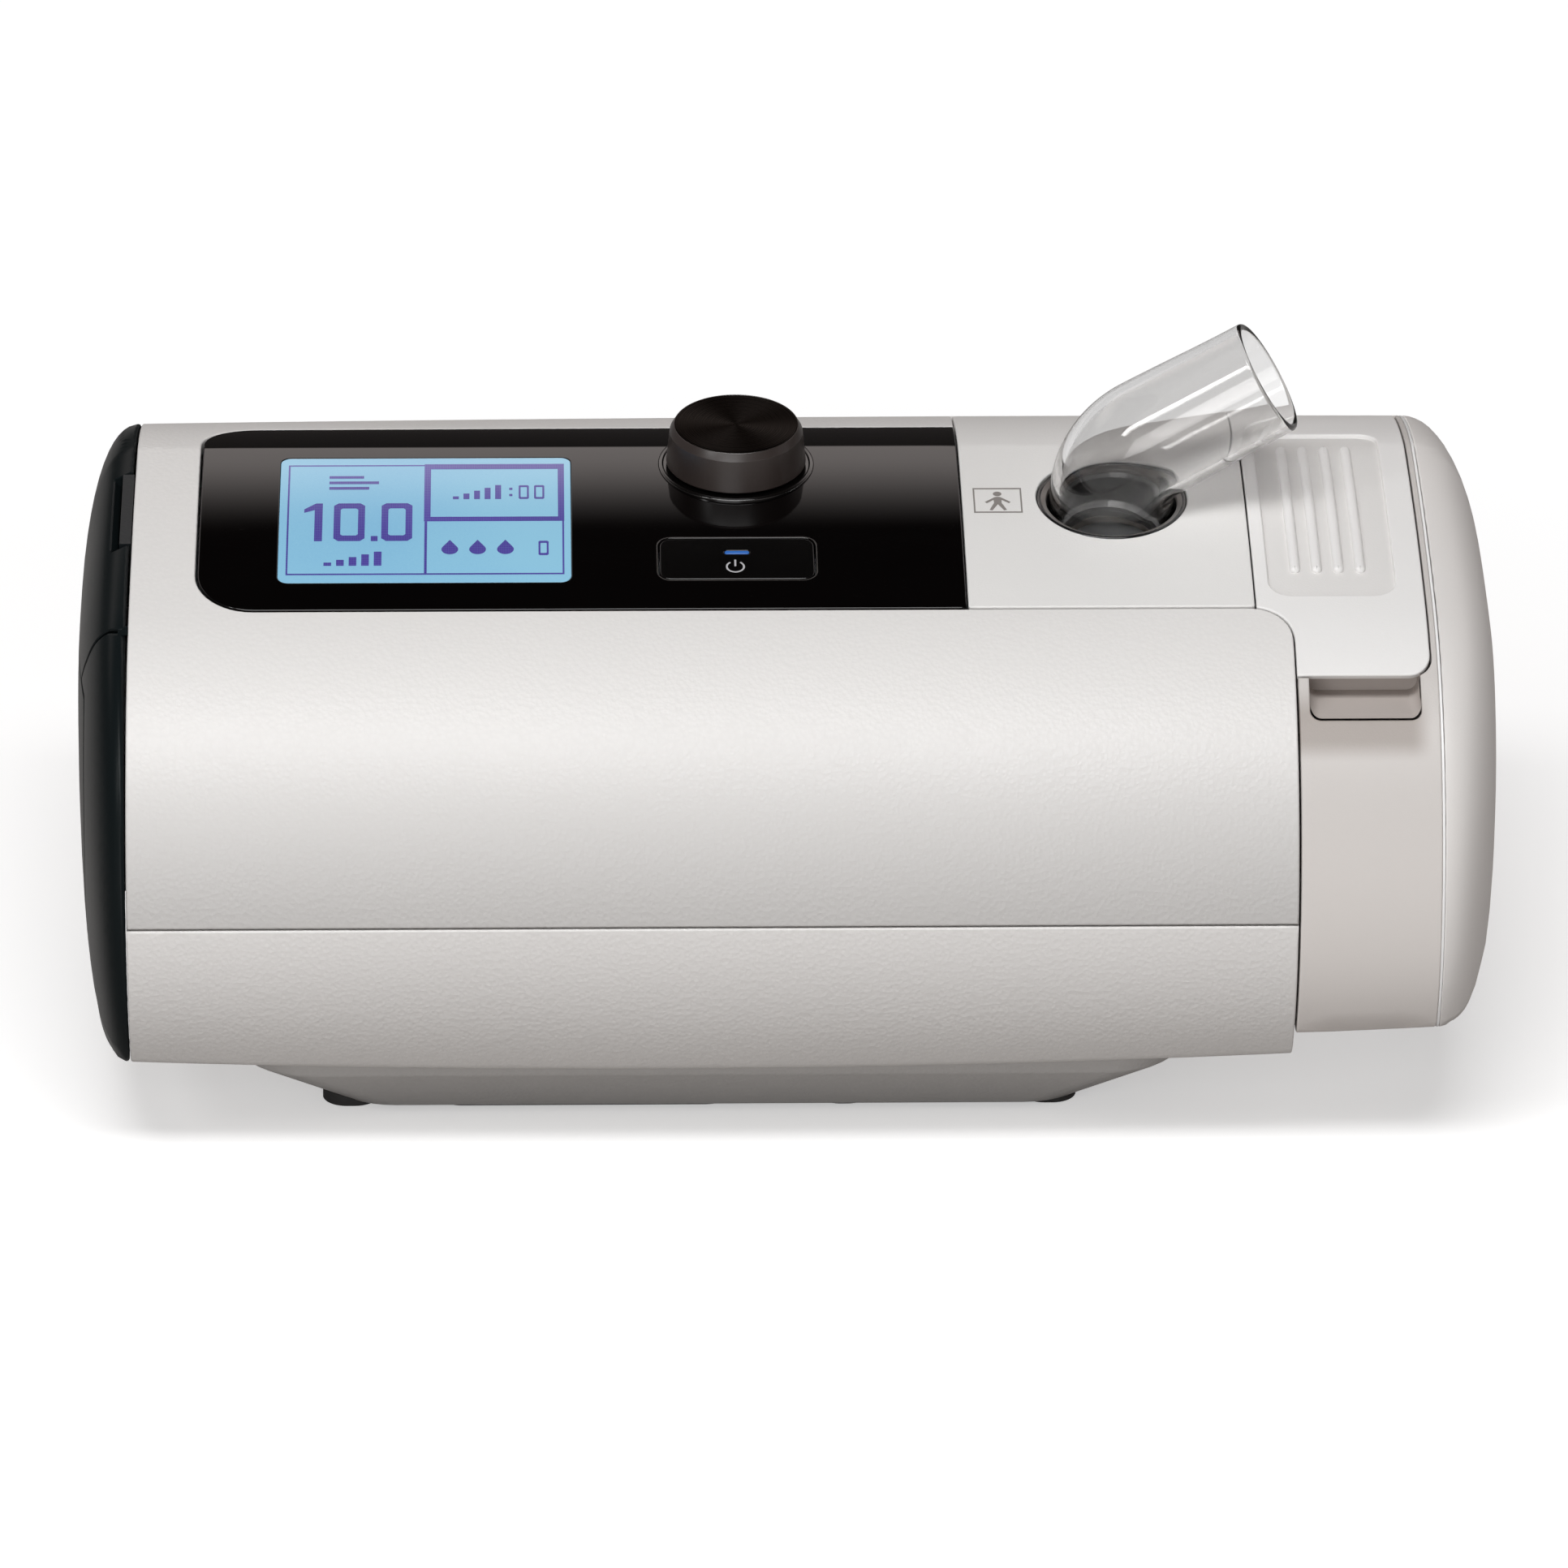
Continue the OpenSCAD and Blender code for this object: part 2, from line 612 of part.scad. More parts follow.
// clear elbow: straight foot, two rounded knuckles and straight arm
bend_angle = 90 - arm_rise;
bend_r = 14;
bend_run = bend_r * tan(bend_angle / 2);
knuckle_run = bend_r * tan(bend_angle / 4);
knuckle_z = bend_h - bend_run + knuckle_run;
arm_run = arm_len - bend_run + knuckle_run;
stop_run = 2;
module elbow_form(d, over, stop) {
    thick = d + 2 * stop;
    translate([0, 0, -tube_sink - over]) cylinder(d = d, h = tube_sink + over + knuckle_z);
    translate([0, 0, knuckle_z]) {
        sphere(d = thick);
        rotate([0, bend_angle / 2, 0]) {
            cylinder(d = thick, h = 2 * knuckle_run);
            translate([0, 0, 2 * knuckle_run]) {
                sphere(d = thick);
                rotate([0, bend_angle / 2, 0]) {
                    cylinder(d = d, h = arm_run + over);
                    if (stop > 0) {
                        cylinder(d = thick, h = arm_run - cuff_len - stop_run);
                        translate([0, 0, arm_run - cuff_len - stop_run])
                            cylinder(d1 = thick, d2 = d, h = stop_run);
                    }
                }
            }
        }
    }
}

module outlet_elbow() color([0.85, 0.88, 0.9, 0.4]) at_port() rotate(arm_turn) difference() {
    elbow_form(tube_d, 0, cuff_stop);
    elbow_form(tube_d - 2 * tube_wall, 1, 0);
}

// domed end: sections drawn in step by step towards a centre
function dome_scale(h, p, q) = max(0.12, pow(1 - pow(h, q), 1 / p));
module dome(depth, p, q, mid, points, n = 9) for (i = [0:n - 1]) hull() for (k = [i, i + 1]) {
    h = sin(90 * k / n);
    s = dome_scale(h, p, q);
    translate([depth * h, 0, 0]) along_x(eps)
        translate(mid) scale([s, s]) translate(-mid) polygon(points);
}

cap_p = 2.13;
cap_q = 2.53;
cap_mid = [5.3, 71.4];
cap_wall = 2;
cap_lip = wall + inner_gap + 1.5;
module cap_form() translate([x_left, 0, 0]) mirror([1, 0, 0])
    dome(cap_depth, cap_p, cap_q, cap_mid, section(0));

// hollow of the cap: its edge is thick enough to carry the plate behind it
module cap_hollow() translate([x_left + eps, 0, 0]) mirror([1, 0, 0])
    dome(cap_depth - cap_wall, cap_p, cap_q, cap_mid, section(cap_lip));

// side view of the dark front corner piece, grown by m
corner_top = [-38, 94.5];
corner_in = [-25, 75];
module corner_side(m) polygon([corner_top + [0.3 + m, 2], corner_in + [m, 0],
                               [-30 + m, -10], [-150, -10], [-150, corner_top[1] + 2]]);

// side view of the air-inlet cover, grown by m
module inlet_side(m) intersection() {
    translate(cap_mid) scale([inlet_scale, inlet_scale]) translate(-cap_mid) polygon(section(-m));
    translate([inlet_back + m - 150, inlet_top + m - 120]) square([150, 120]);
}

plate_t = 2;
plate_face = x_left - 0.1;
filter_y0 = -24;
filter_w = 46;
filter_z0 = 35;
filter_h = 30;
filter_t = 5;
filter_edge = 4;
rim_t = 1.5;
module filter_box(x0, x1, grow) translate([x0, filter_y0 - grow, filter_z0 - grow])
    cube([x1 - x0, filter_w + 2 * grow, filter_h + 2 * grow]);

module left_end_cap() color([0.09, 0.1, 0.11]) {
    difference() {
        cap_form();
        cap_hollow();
        between_x(x_left - 30, x_left - eps) corner_side(seam_gap / 2);
        between_x(x_left - 30, x_left - 3) inlet_side(seam_gap / 2);
        card_slot();
    }
    // plate that closes the housing, with the air way behind the filter
    difference() {
        between_x(plate_face, x_left + plate_t) polygon(section(wall + inner_gap));
        filter_box(x_left - 5, x_left + 5, -filter_edge);
    }
    // rim around the filter
    difference() {
        filter_box(x_left - filter_t, x_left + 1, inner_gap + rim_t);
        filter_box(x_left - filter_t - 1, plate_face, inner_gap);
        filter_box(x_left - 5, x_left + 5, -filter_edge);
    }
}

module air_filter() color("lightsteelblue") filter_box(x_left - filter_t, plate_face - 0.1, 0);

module front_corner_cover() color([0.07, 0.08, 0.09]) difference() {
    intersection() {
        cap_form();
        between_x(x_left - 30, x_left - seam_gap) corner_side(-seam_gap / 2);
    }
    cap_hollow();
    between_x(x_left - 30, x_left - 3) inlet_side(seam_gap / 2);
}

louvre_tilt = 20;
module inlet_cover() color([0.08, 0.09, 0.1]) difference() {
    intersection() {
        cap_form();
        between_x(x_left - 30, x_left - 3.4) inlet_side(-seam_gap / 2);
    }
    cap_hollow();
    // louvres
    for (i = [0:louvre_count - 1])
        translate([x_left - 20, filter_y0 + 6, filter_z0 + 8 + i * louvre_pitch]) rotate([0, louvre_tilt, 0])
            cube([20, filter_w - 12, louvre_pitch / 2]);
}

// memory card and its socket, behind the cap's top edge
card_y = -1;
card_in = 0.4;
card_x = x_left - inner_gap - card_t / 2;
card_play = 0.1;
module at_card() on_top(card_x, card_y) children();

module card_slot() at_card() cube([card_t + 0.4, card_w + 0.4, 20], center = true);

module memory_card() color([0.1, 0.12, 0.15]) at_card() translate([0, 0, -card_in - card_h])
    linear_extrude(card_h) square([card_t, card_w], center = true);

module card_socket() color("silver") at_card() difference() {
    translate([-card_t / 2 - 0.8, -card_w / 2 - 1, -card_in - card_h - 1])
        cube([card_t + 0.8 + card_play, card_w + 2, 20]);
    translate([-card_t / 2 - card_play, -card_w / 2 - card_play, -card_in - card_h])
        cube([card_t + 2, card_w + 2 * card_play, 40]);
}

// bay for the water chamber, fixed in the housing
bay_lift = 1;
module bay_outline(m) intersection() {
    polygon(section(wall + bay_lift + m));
    translate([-bay_front + m, floor_z + m])
        square([bay_front + bay_back - 2 * m, bay_top - floor_z - 2 * m]);
}

airway_z = rim_z + gasket_t + 12;
heater_d = bay_len - 2 * heater_margin;
heater_x = bay_x0 + bay_len / 2 + 2;
flange_t = 1.8;
spout_y = port_y + (top_z(port_y) - bay_top) * tan(top_tilt(port_y));
spout_len = 25;
seal_rim = 2.5;
module chamber_bay() color("lightgray") difference() {
    union() {
        between_x(bay_x0, x_right - 0.2) bay_outline(0);
        // flange that closes the housing around the bay
        between_x(x_right - 0.2 - flange_t, x_right - 0.2) polygon(section(wall + inner_gap));
        // spout under the air outlet
        intersection() {
            at_port() translate([0, 0, -spout_len])
                cylinder(d = airway_d + 6, h = spout_len - socket_h - inner_gap);
            translate([port_at - 20, port_y - 20, bay_top - bay_wall / 2]) cube(40);
        }
    }
    between_x(bay_x0 + bay_wall, x_right + 1) bay_outline(bay_wall);
    translate([heater_x, 0, floor_z - 1]) cylinder(d = heater_d - 8, h = bay_wall + 4);
    translate([bay_x0 - 1, 0, airway_z]) rotate([0, 90, 0]) cylinder(d = airway_d + 2, h = bay_wall + 2);
    at_port() translate([0, 0, -spout_len]) cylinder(d = airway_d + 2, h = spout_len);
}

heater_z = floor_z + bay_lift + bay_wall;
module heater_gasket() color("orangered") translate([heater_x, 0, heater_z])
    tube(heater_d / 2, heater_d / 2 - 5, 1);

module heater_plate() color("silver") translate([heater_x, 0, heater_z + 1])
    cylinder(d = heater_d, h = heater_t);

tub_z = heater_z + 1 + heater_t + 0.3;
tub_x0 = bay_x0 + bay_wall + 1;
tub_x1 = x_right + chamber_seam;
module tub_outline(m) intersection() {
    polygon(section(wall + bay_lift + bay_wall + chamber_gap + m));
    translate([-bay_front + bay_wall + chamber_gap + m, tub_z + m])
        square([bay_front + bay_back - 2 * (bay_wall + chamber_gap + m),
                bay_top - bay_wall - chamber_gap - tub_z - 2 * m]);
}

module below(z) translate([-150, z - 150]) square([300, 150]);
module above(z) translate([-150, z]) square([300, 150]);

module water_tub() color([0.8, 0.85, 0.9, 0.6]) difference() {
    between_x(tub_x0, tub_x1) intersection() { tub_outline(0); below(rim_z); }
    between_x(tub_x0 + tub_wall, tub_x1 - tub_wall) intersection() { tub_outline(tub_wall); below(rim_z + 1); }
    translate([heater_x, 0, tub_z - 1]) cylinder(d = heater_d - 6, h = 1 + tub_wall / 2);
}

module tub_base_plate() color("silver") translate([heater_x, 0, tub_z])
    cylinder(d = heater_d - 6.1, h = tub_wall / 2);

module tub_gasket() color("lightblue") difference() {
    between_x(tub_x0, tub_x1) intersection() { tub_outline(0); above(rim_z); below(rim_z + gasket_t); }
    between_x(tub_x0 + tub_wall, tub_x1 - tub_wall) intersection() { tub_outline(tub_wall); above(rim_z - 1); }
}

module tub_lid() color([0.85, 0.88, 0.92, 0.6]) difference() {
    between_x(tub_x0, tub_x1) intersection() { tub_outline(0); above(rim_z + gasket_t); }
    between_x(tub_x0 + tub_wall, tub_x1 - tub_wall) intersection() { tub_outline(tub_wall); above(rim_z); }
    translate([tub_x0 - 1, 0, airway_z]) rotate([0, 90, 0]) cylinder(d = airway_d, h = tub_wall + 2);
    translate([port_at, spout_y, bay_top - 20]) cylinder(d = airway_d, h = 30);
}

module inlet_seal() color("dimgray") translate([bay_x0 + bay_wall, 0, airway_z]) rotate([0, 90, 0])
    tube(airway_d / 2 + seal_rim, airway_d / 2, tub_x0 - bay_x0 - bay_wall - 0.3);

module outlet_seal() color("dimgray")
    translate([port_at, spout_y, bay_top - bay_wall - chamber_gap + 0.3])
        tube(airway_d / 2 + seal_rim, airway_d / 2, chamber_gap - 0.3);

// outer band of the chamber, with the finger gap under the ribbed cover
band_x0 = x_right + chamber_seam;
bulk_t = 2;
finger_x0 = band_x0 + bulk_t;
finger_x1 = cover_x1 - 2;
cover_edge_z = front_c[1] + sqrt(pow(front_r, 2) - pow(front_c[0] + cover_front, 2));
// height of the cover's thin edge over the finger gap
cover_edge = 1.2;
finger_r = 2;
module finger_front(m) translate([(finger_x0 + finger_x1) / 2, 0, cover_edge_z + (finger_r - finger_h) / 2])
    rotate([90, 0, 0]) linear_extrude(80)
        rounded(finger_x1 - finger_x0 + 2 * m, finger_h + finger_r + 2 * m, finger_r + m, $fn = 32);

module finger_cut(m) intersection() {
    finger_front(m);
    translate([band_x0 - 50, -cover_front - 80, 0]) cube([200, 80 + finger_depth / 2 + m, 150]);
}

bead_w = 1.2;
module chamber_band() color([0.8, 0.78, 0.76]) difference() {
    union() {
        difference() {
            between_x(band_x0, x_part - bead_w) polygon(chamber_section(0));
            between_x(band_x0 + bulk_t, x_part + 1) polygon(chamber_section(band_wall));
            // opening under the ribbed cover
            tall(60, 80) cover_plan(seam_gap);
        }
        // bulkhead that carries the ribbed cover and closes the water tub
        between_x(band_x0, band_x0 + bulk_t) polygon(chamber_section(band_wall));
        // inner wall of the finger gap
        difference() {
            intersection() {
                finger_cut(1.5);
                between_x(band_x0, cover_x1) polygon(chamber_section(band_wall - 0.2));
            }
            intersection() {
                skin(band_x0 - 1, x_part, -1, band_wall + 0.1);
                tall(60, 80) cover_plan(seam_gap);
            }
        }
    }
    finger_cut(0);
}

module cover_plan(m) difference() {
    union() {
        translate([deck_x1 - m, -cover_front + cover_corner])
            square([cover_x1 - deck_x1 + 2 * m, deck_back + cover_front - cover_corner + m]);
        translate([deck_x1 - m, -cover_front - m])
            square([cover_x1 - deck_x1 - cover_corner + m, cover_corner + m + 1]);
        translate([cover_x1 - cover_corner, -cover_front + cover_corner]) circle(r = cover_corner + m);
    }
    if (m <= 0) apron_plan(seam_gap);
}

rib_front = 22.4;
rib_back = 20;
rib_x0 = deck_x1 + 7.8;
recess_depth = 0.5;
module grip_field(a, b, w0, w1, y0, y1, r) intersection() {
    skin(deck_x1 + 1, cover_x1 - 1, a, b);
    tall(90, 40) translate([(w0 + w1) / 2, (y0 + y1) / 2]) rounded(w1 - w0, y1 - y0, r);
}

module chamber_cover() color([0.87, 0.86, 0.85]) {
    difference() {
        intersection() {
            skin(deck_x1 + seam_gap / 2, cover_x1, 0, band_wall);
            tall(70, 60) cover_plan(0);
        }
        grip_field(-1, recess_depth, rib_x0 - 5, rib_x0 + (rib_count - 1) * rib_pitch + 7,
                   -rib_front - 7, rib_back + 7, 5);
        intersection() {
            finger_cut(0);
            translate([band_x0, -100, 0]) cube([200, 200, cover_edge_z - cover_edge]);
        }
    }
    for (i = [0:rib_count - 1])
        grip_field(-0.3, recess_depth + 0.2, rib_x0 + i * rib_pitch - rib_w / 2, rib_x0 + i * rib_pitch + rib_w / 2,
                   -rib_front, rib_back, rib_w / 2 - 0.05);
}

end_p = 3.34;
end_q = 2.1;
end_mid = [-10.8, 76.4];
module chamber_end() color([0.78, 0.76, 0.74]) translate([x_part, 0, 0]) difference() {
    dome(dome_depth, end_p, end_q, end_mid, chamber_section(0));
    translate([-eps * 2, 0, 0]) dome(dome_depth - band_wall, end_p, end_q, end_mid, chamber_section(band_wall));
}

module seam_bead() color("white") between_x(x_part - bead_w, x_part) difference() {
    polygon(chamber_section(0));
    polygon(chamber_section(band_wall));
}

// blower
blower_y = 0;
mount_angles = [45, 135, 225, 315];
mount_pcd = 62;
mount_d = 9;
mount_z = scroll_z - scroll_h - 8;
scroll_bottom = scroll_z - scroll_h;
outlet_y = -(scroll_d / 2 - airway_d / 2 - scroll_wall - 2);

module at_blower(z) translate([blower_at, blower_y, z]) children();

module scroll_exit(r, x1) translate([blower_at, blower_y + outlet_y, scroll_z]) rotate([0, 90, 0])
    cylinder(r = r, h = x1);

exit_len = scroll_d / 2 + exit_run;
module scroll_half(z0, h) {
    difference() {
        union() {
            at_blower(z0) cylinder(d = scroll_d, h = h);
            intersection() {
                scroll_exit(airway_d / 2 + scroll_wall, exit_len);
                at_blower(z0) translate([0, -60, 0]) cube([100, 120, h]);
            }
        }
        scroll_exit(airway_d / 2, exit_len + 1);
        at_blower(scroll_bottom + scroll_wall)
            cylinder(d = scroll_d - 2 * scroll_wall, h = 2 * scroll_h - 2 * scroll_wall);
        children();
    }
}

module blower_base() color("darkgray") {
    scroll_half(scroll_bottom, scroll_h) at_blower(scroll_bottom - 1) cylinder(d = spindle_d + 2, h = scroll_h);
    at_blower(scroll_bottom - motor_h - 1.2) difference() {
        cylinder(d = motor_d + 4, h = motor_h + 1.2 + 0.5);
        translate([0, 0, 1.2]) cylinder(d = motor_d + 0.4, h = motor_h);
        translate([0, 0, 2]) cylinder(d = spindle_d + 2, h = motor_h + 5);
    }
}

module blower_cover() color("gray") {
    scroll_half(scroll_z, scroll_h) at_blower(scroll_z) cylinder(d = mouth_d, h = 20);
    at_blower(scroll_z + scroll_h - 0.5) tube(mouth_d / 2 + 1.6, mouth_d / 2, mouth_h + 0.5);
}
mouth_d = 26;
mouth_h = 2.8;

module blower_mounts() color("black") for (a = mount_angles) at_blower(0) rotate(a)
    translate([mount_pcd / 2, 0, mount_z]) cylinder(d = mount_d, h = scroll_bottom - mount_z);

module blower_motor() color("dimgray") at_blower(scroll_bottom - motor_h) difference() {
    cylinder(d = motor_d, h = motor_h - 0.2);
    translate([0, 0, 3]) cylinder(d = spindle_d + 2 * run_gap, h = motor_h);
}

module motor_spindle() color("silver") at_blower(scroll_bottom - motor_h + 3.3)
    cylinder(d = spindle_d, h = motor_h + scroll_h - 3.3);

impeller_h = 12;
blade_t = 1.1;
module impeller() color("white") at_blower(scroll_bottom + scroll_wall + 0.8) {
    difference() {
        union() {
            cylinder(d = impeller_d, h = 1.4);
            cylinder(d = 9, h = 9);
            for (i = [0:blade_count - 1]) rotate(i * 360 / blade_count) blade();
        }
        translate([0, 0, -1]) cylinder(d = spindle_d, h = scroll_h - scroll_wall - 0.8 + 1);
    }
}

// one backward-swept blade, an arc of constant thickness
blade_r = 22;
eye_r = 8;
module blade() intersection() {
    translate([blade_r - 1, -4, 0.5]) difference() {
        cylinder(r = blade_r, h = impeller_h - 0.5);
        translate([0, 0, -1]) cylinder(r = blade_r - blade_t, h = impeller_h + 2);
    }
    tube(impeller_d / 2 - 0.1, eye_r, impeller_h);
    translate([-40, 0, 0]) cube([80, 60, impeller_h]);
}

// air way from the blower up to the chamber
module duct_form(d, over) hull() {
    translate([duct_x0 - over, outlet_y, scroll_z]) rotate([0, 90, 0]) cylinder(d = d, h = 1, $fn = 32);
    translate([duct_x1 - 1 + over, 0, airway_z]) rotate([0, 90, 0]) cylinder(d = d, h = 1, $fn = 32);
}

module air_duct() color("lightgray") difference() {
    duct_form(airway_d + 2 * scroll_wall, 0);
    duct_form(airway_d, eps);
}

// intake box between the filter and the blower's mouth
box_wall = 1.6;
box_top = 86;
box_z = scroll_z + scroll_h + mouth_h;
box_y = 26;
box_x0 = x_left + plate_t + inner_gap;
shaft_w = 9;
// shaft behind the filter and flat box over the blower, drawn in by d and open to the left
module intake_form(d) {
    open = d > 0 ? 1 : 0;
    translate([box_x0 - open, -box_y + d, filter_z0 + d])
        cube([shaft_w + open - d, 2 * (box_y - d), box_top - filter_z0 - 2 * d]);
    translate([box_x0 - open, -box_y + d, box_z + d])
        cube([blower_x + 18 + open - d, 2 * (box_y - d), box_top - box_z - 2 * d]);
}

module intake_box() color("lightgray") difference() {
    intake_form(0);
    intake_form(box_wall);
    at_blower(box_z - 1) cylinder(d = mouth_d, h = box_wall + 2);
}

foam_t = 4;
module intake_foam() color("dimgray")
    translate([box_x0 + shaft_w + inner_gap, -box_y + box_wall + inner_gap, box_top - box_wall - foam_t])
        cube([blower_x, 2 * (box_y - box_wall - inner_gap), foam_t]);

// electronics at the back
board_x0 = x_left + 12;
board_len = 92;
board_y = 54;
board_h = 56;
board_z = floor_z + inner_gap;
guide_w = 4;
jack_z = 43;
jack_d = 11;
jack_hole_d = jack_d + 0.4;
module main_board() color("darkgreen")
    translate([board_x0, board_y, board_z]) cube([board_len, board_t, board_h]);

// a chip at shares u and v of the board's length and height
module chip(u, v, w, h, t) translate([u * board_len, -t, v * board_h]) cube([w, t, h]);

capacitor_d = 8;
module board_parts() color("black") translate([board_x0, board_y, board_z]) {
    chip(0.1, 0.35, 14, 14, 2.2);
    chip(0.37, 0.6, 9, 9, 1.6);
    chip(0.67, 0.65, 20, 10, 5);
    for (u = [0.65, 0.76, 0.87]) translate([u * board_len, board_t, 0.2 * board_h])
        rotate([-90, 0, 0]) cylinder(d = capacitor_d, h = capacitor_d + 3);
}

sensor_t = 4;
module pressure_sensor() color("ivory")
    translate([board_x0 + 0.1 * board_len, board_y - sensor_t, board_z + 0.78 * board_h]) {
        cube([2.5 * sensor_t, sensor_t, 2 * sensor_t]);
        translate([1.25 * sensor_t, 0, sensor_t]) rotate([90, 0, 0])
            cylinder(d = 0.6 * sensor_t, h = sensor_t + 1);
    }

module dc_inlet() color("black") translate([x_left + jack_x, 0, jack_z]) rotate([-90, 0, 0]) {
    translate([0, 0, board_y + board_t]) difference() {
        union() {
            cylinder(d = jack_d, h = back_y - board_y - board_t - 0.3);
            translate([-6.5, -6.5, 0]) cube([13, 13, back_y - wall - board_y - board_t - 0.4]);
        }
        translate([0, 0, 4]) cylinder(d = jack_bore_d, h = 30);
    }
    translate([0, 0, board_y + board_t + 3]) cylinder(d = jack_pin_d, h = back_y - board_y - board_t - 5);
}

main_cover();
base_shell();
plinth();
rubber_feet();
display_lens();
panel_frame();
lcd_glass();
lcd_backlight();
display_board();
knob_collar();
knob_body();
knob_face();
encoder_shaft();
encoder_rotor();
encoder_housing();
encoder_board();
power_button();
status_light();
button_switch();
button_board();
outlet_deck();
outlet_socket();
elbow_seal();
outlet_elbow();
left_end_cap();
front_corner_cover();
inlet_cover();
air_filter();
memory_card();
card_socket();
chamber_bay();
heater_gasket();
heater_plate();
water_tub();
tub_base_plate();
tub_gasket();
tub_lid();
inlet_seal();
outlet_seal();
chamber_band();
chamber_cover();
chamber_end();
seam_bead();
blower_base();
blower_cover();
blower_mounts();
blower_motor();
motor_spindle();
impeller();
air_duct();
intake_box();
intake_foam();
main_board();
board_parts();
pressure_sensor();
dc_inlet();
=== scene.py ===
"""Bedside air-pressure therapy machine: the visible form and finish of every piece."""

import math

import bpy
import numpy as np
from mathutils import Matrix, Quaternion, Vector
from mathutils.geometry import delaunay_2d_cdt


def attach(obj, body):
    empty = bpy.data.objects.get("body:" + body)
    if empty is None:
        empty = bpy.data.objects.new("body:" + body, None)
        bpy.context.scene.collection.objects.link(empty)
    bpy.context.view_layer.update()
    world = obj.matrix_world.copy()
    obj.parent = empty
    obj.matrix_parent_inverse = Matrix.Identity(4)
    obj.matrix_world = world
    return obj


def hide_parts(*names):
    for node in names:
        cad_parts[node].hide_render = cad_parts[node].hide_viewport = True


MM = 0.001
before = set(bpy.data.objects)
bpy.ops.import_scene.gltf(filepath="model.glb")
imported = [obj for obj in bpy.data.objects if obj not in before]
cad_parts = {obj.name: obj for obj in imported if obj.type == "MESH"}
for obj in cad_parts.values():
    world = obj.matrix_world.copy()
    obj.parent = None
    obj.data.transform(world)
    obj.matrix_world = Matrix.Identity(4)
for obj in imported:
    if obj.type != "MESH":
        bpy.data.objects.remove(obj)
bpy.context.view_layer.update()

# ---------------------------------------------------------------- sizes, in millimetres
X_LEFT, X_RIGHT, X_PART = -119.75, 92.05, 118.45
SEAM_Z = 50.0
PANEL_X0, PANEL_X1 = -107.75, 33.05
PANEL_FRONT, PANEL_BACK, PANEL_CORNER = -32.9, 33.4, 10.5
DECK_X1, DECK_BACK = 85.65, 46.0
COVER_X1, COVER_FRONT, COVER_CORNER = 116.65, -48.1, 4.0
BAND_X0, BEAD_W = 92.45, 0.48
COVER_EDGE = 1.1
FINGER_X, FINGER_Z, FINGER_BACK = (94.45, 114.65), 83.15, -42.1
APRON_CORNER = 8.0
KNOB_AT, BUTTON_AT, SCREEN_AT, PORT_AT = (-8.35, 14.0), (-8.75, -18.2), (-65.95, -4.0), (60.95, 1.5)
CARD_AT = (-121.0, -1.0)
INLET_SCALE, INLET_TOP, INLET_BACK = 0.7, 80.0, 40.0
GAP = 0.15


def sin(a):
    return math.sin(math.radians(a))


def cos(a):
    return math.cos(math.radians(a))


# ---------------------------------------------------------------- the body's cross section
def on_arc(c, r, t, side):
    return c[0] + side * r * sin(t), c[1] + r * cos(t)


def arc_centre(p, r, t, side):
    return p[0] - side * r * sin(t), p[1] - r * cos(t)


CREST = (21.0, 104.9)
TOP_C = arc_centre(CREST, 273, 4, -1)
FRONT_C = arc_centre(on_arc(TOP_C, 273, 15.5, -1), 54, 15.5, -1)
LOWER_C = arc_centre(on_arc(FRONT_C, 54, 90, -1), 45, 90, -1)
CREST_C = arc_centre(CREST, 80, 3, 1)
BACK_C = arc_centre(on_arc(CREST_C, 80, 20, 1), 43, 20, 1)
BACK_Y = BACK_C[0] + 43


